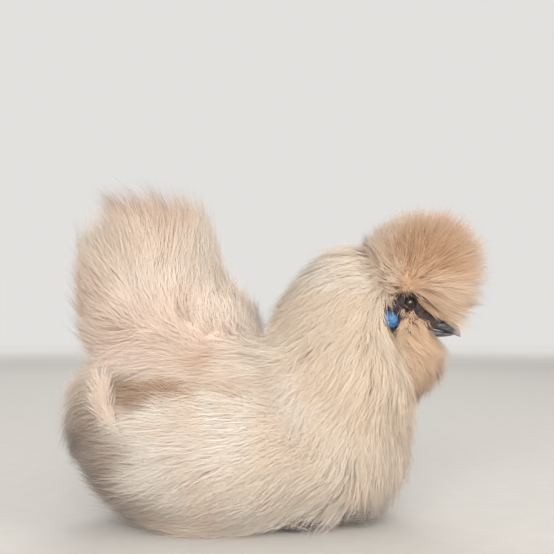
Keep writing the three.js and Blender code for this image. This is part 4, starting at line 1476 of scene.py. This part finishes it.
# Stage: camera, lights and floor
CAMERA = {"x": 29.4, "z": 121.6, "lens_mm": 50.75, "sensor_mm": 36.0, "shift": (-0.0162, 0.0957)}
LIGHTS = {
    "key": {"at": (-0.02, -1.4, 0.42), "size": 1.2, "watts": 46.0, "colour": (1.0, 0.96, 0.91)},
    "fill": {"at": (1.3, -0.8, 0.6), "size": 1.0, "watts": 12.0, "colour": (1.0, 0.96, 0.92)},
    "back": {"at": (-0.2, 1.8, 2.0), "size": 1.6, "watts": 26.0, "colour": (1.0, 0.97, 0.94)},
}
AIM_AT = (0.02, 0.0, 0.1)
STUDIO = {"colour": (0.93, 0.92, 0.90, 1), "strength": 0.82}
FLOOR = {
    "reach": (50, 6000), "rings": 24, "around": 96, "painted_light_from": 2.0, "painted_light_at": 4.5,
    "near": ((0.42, 0.41, 0.39), (0.46, 0.45, 0.43)), "far": (0.95, 0.94, 0.92),
}


class HEN_OT_stage(bpy.types.Operator):
    """Sets the camera, the soft lights and the floor, whose far part is painted paler as painted light"""

    bl_idname = "hen.stage"
    bl_label = "Stage"

    def execute(self, context):
        scene = context.scene
        camera = bpy.data.objects.new("camera", bpy.data.cameras.new("camera"))
        camera.data.lens, camera.data.sensor_width = CAMERA["lens_mm"], CAMERA["sensor_mm"]
        camera.data.shift_x, camera.data.shift_y = CAMERA["shift"]
        camera.data.clip_start = 0.01
        camera.location = (CAMERA["x"] * MM, -scene.hen_sizes.camera_away, CAMERA["z"] * MM)
        camera.rotation_euler = (math.pi / 2, 0, 0)
        scene.collection.objects.link(camera)
        scene.camera = camera
        for name, light in LIGHTS.items():
            self.light(scene, name, light)
        floor_form(scene)
        world = bpy.data.worlds.new("studio")
        world.use_nodes = True
        background = world.node_tree.nodes["Background"]
        background.inputs["Color"].default_value = STUDIO["colour"]
        background.inputs["Strength"].default_value = STUDIO["strength"]
        scene.world = world
        scene.view_settings.view_transform = "Standard"
        return {"FINISHED"}

    def light(self, scene, name, light):
        """A square soft light that faces the hen."""
        lamp = bpy.data.objects.new(name, bpy.data.lights.new(name, "AREA"))
        lamp.data.size, lamp.data.energy, lamp.data.color = light["size"], light["watts"], light["colour"]
        off = np.subtract(AIM_AT, light["at"])
        lamp.location = light["at"]
        tilt = math.acos(-off[2] / np.linalg.norm(off))
        lamp.rotation_euler = (tilt, 0, math.atan2(off[1], off[0]) - math.pi / 2)
        scene.collection.objects.link(lamp)


def floor_form(scene):
    """A round floor: rings round the hen that stay level, grey near her and painted paler far away, as
    painted light that stands in for the lamps' light falling off.
    """
    around = FLOOR["around"]
    turn = np.linspace(0, 2 * math.pi, around, endpoint=False)
    reach = np.geomspace(*FLOOR["reach"], FLOOR["rings"])[:, None]
    rings = aim(reach * np.cos(turn), reach * np.sin(turn), 0.0)
    points = np.concatenate([rings.reshape(-1, 3), [(0, 0, 0)]])
    here = np.arange(around)
    there = (here + 1) % around
    inner = np.arange(FLOOR["rings"] - 1)[:, None] * around
    outer = inner + around
    quads = np.stack([inner + here, outer + here, outer + there, inner + there], -1).reshape(-1, 4)
    middle = np.stack([np.full(around, len(points) - 1), here, there], -1)
    mesh = bpy.data.meshes.new("floor")
    mesh.from_pydata((points * MM).tolist(), [], quads.tolist() + middle.tolist())
    paint = Paint("floor")
    grain = paint.noise(paint.place(), 60.0, 4.0)
    near = paint.blend(*FLOOR["near"], grain)
    # Painted light: the floor grows paler with distance, standing in for the light that falls off far from
    # the lamps
    away = paint.vector("LENGTH", paint.place(), (0, 0, 0))
    pale = paint.span(away, FLOOR["painted_light_from"], FLOOR["painted_light_at"])
    colour = paint.blend(near, FLOOR["far"], pale)
    mesh.materials.append(paint.finish(colour, 0.8, paint.bump(grain, 0.05, 0.001)))
    floor = bpy.data.objects.new("floor", mesh)
    scene.collection.objects.link(floor)


PIECES = (
    HEN_OT_stage, HEN_OT_skin, HEN_OT_eyes, HEN_OT_beak, HEN_OT_lobes, HEN_OT_claws, HEN_OT_crest,
    HEN_OT_beard, HEN_OT_hackle, HEN_OT_tail, HEN_OT_body, HEN_OT_wings, HEN_OT_fuzz,
)


class HEN_PT_panel(bpy.types.Panel):
    """Her sizes and colours, and a button for each piece"""

    bl_idname = "HEN_PT_panel"
    bl_label = "Silkie Hen"
    bl_space_type = "VIEW_3D"
    bl_region_type = "UI"
    bl_category = "Silkie Hen"

    def draw(self, context):
        for group in (context.scene.hen_sizes, context.scene.hen_colours):
            box = self.layout.box()
            for key in group.bl_rna.properties.keys():
                if key not in ("rna_type", "name"):
                    box.prop(group, key)
        for operator in PIECES:
            self.layout.operator(operator.bl_idname)


CLASSES = (HenSizes, HenColours, *PIECES, HEN_PT_panel)


def register():
    for cls in CLASSES:
        bpy.utils.register_class(cls)
    bpy.types.Scene.hen_sizes = PointerProperty(type=HenSizes)
    bpy.types.Scene.hen_colours = PointerProperty(type=HenColours)


def unregister():
    del bpy.types.Scene.hen_sizes
    del bpy.types.Scene.hen_colours
    for cls in reversed(CLASSES):
        bpy.utils.unregister_class(cls)


def main():
    """Registers the add-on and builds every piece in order."""
    register()
    for operator in PIECES:
        group, name = operator.bl_idname.split(".")
        getattr(getattr(bpy.ops, group), name)()


if __name__ == "__main__":
    main()
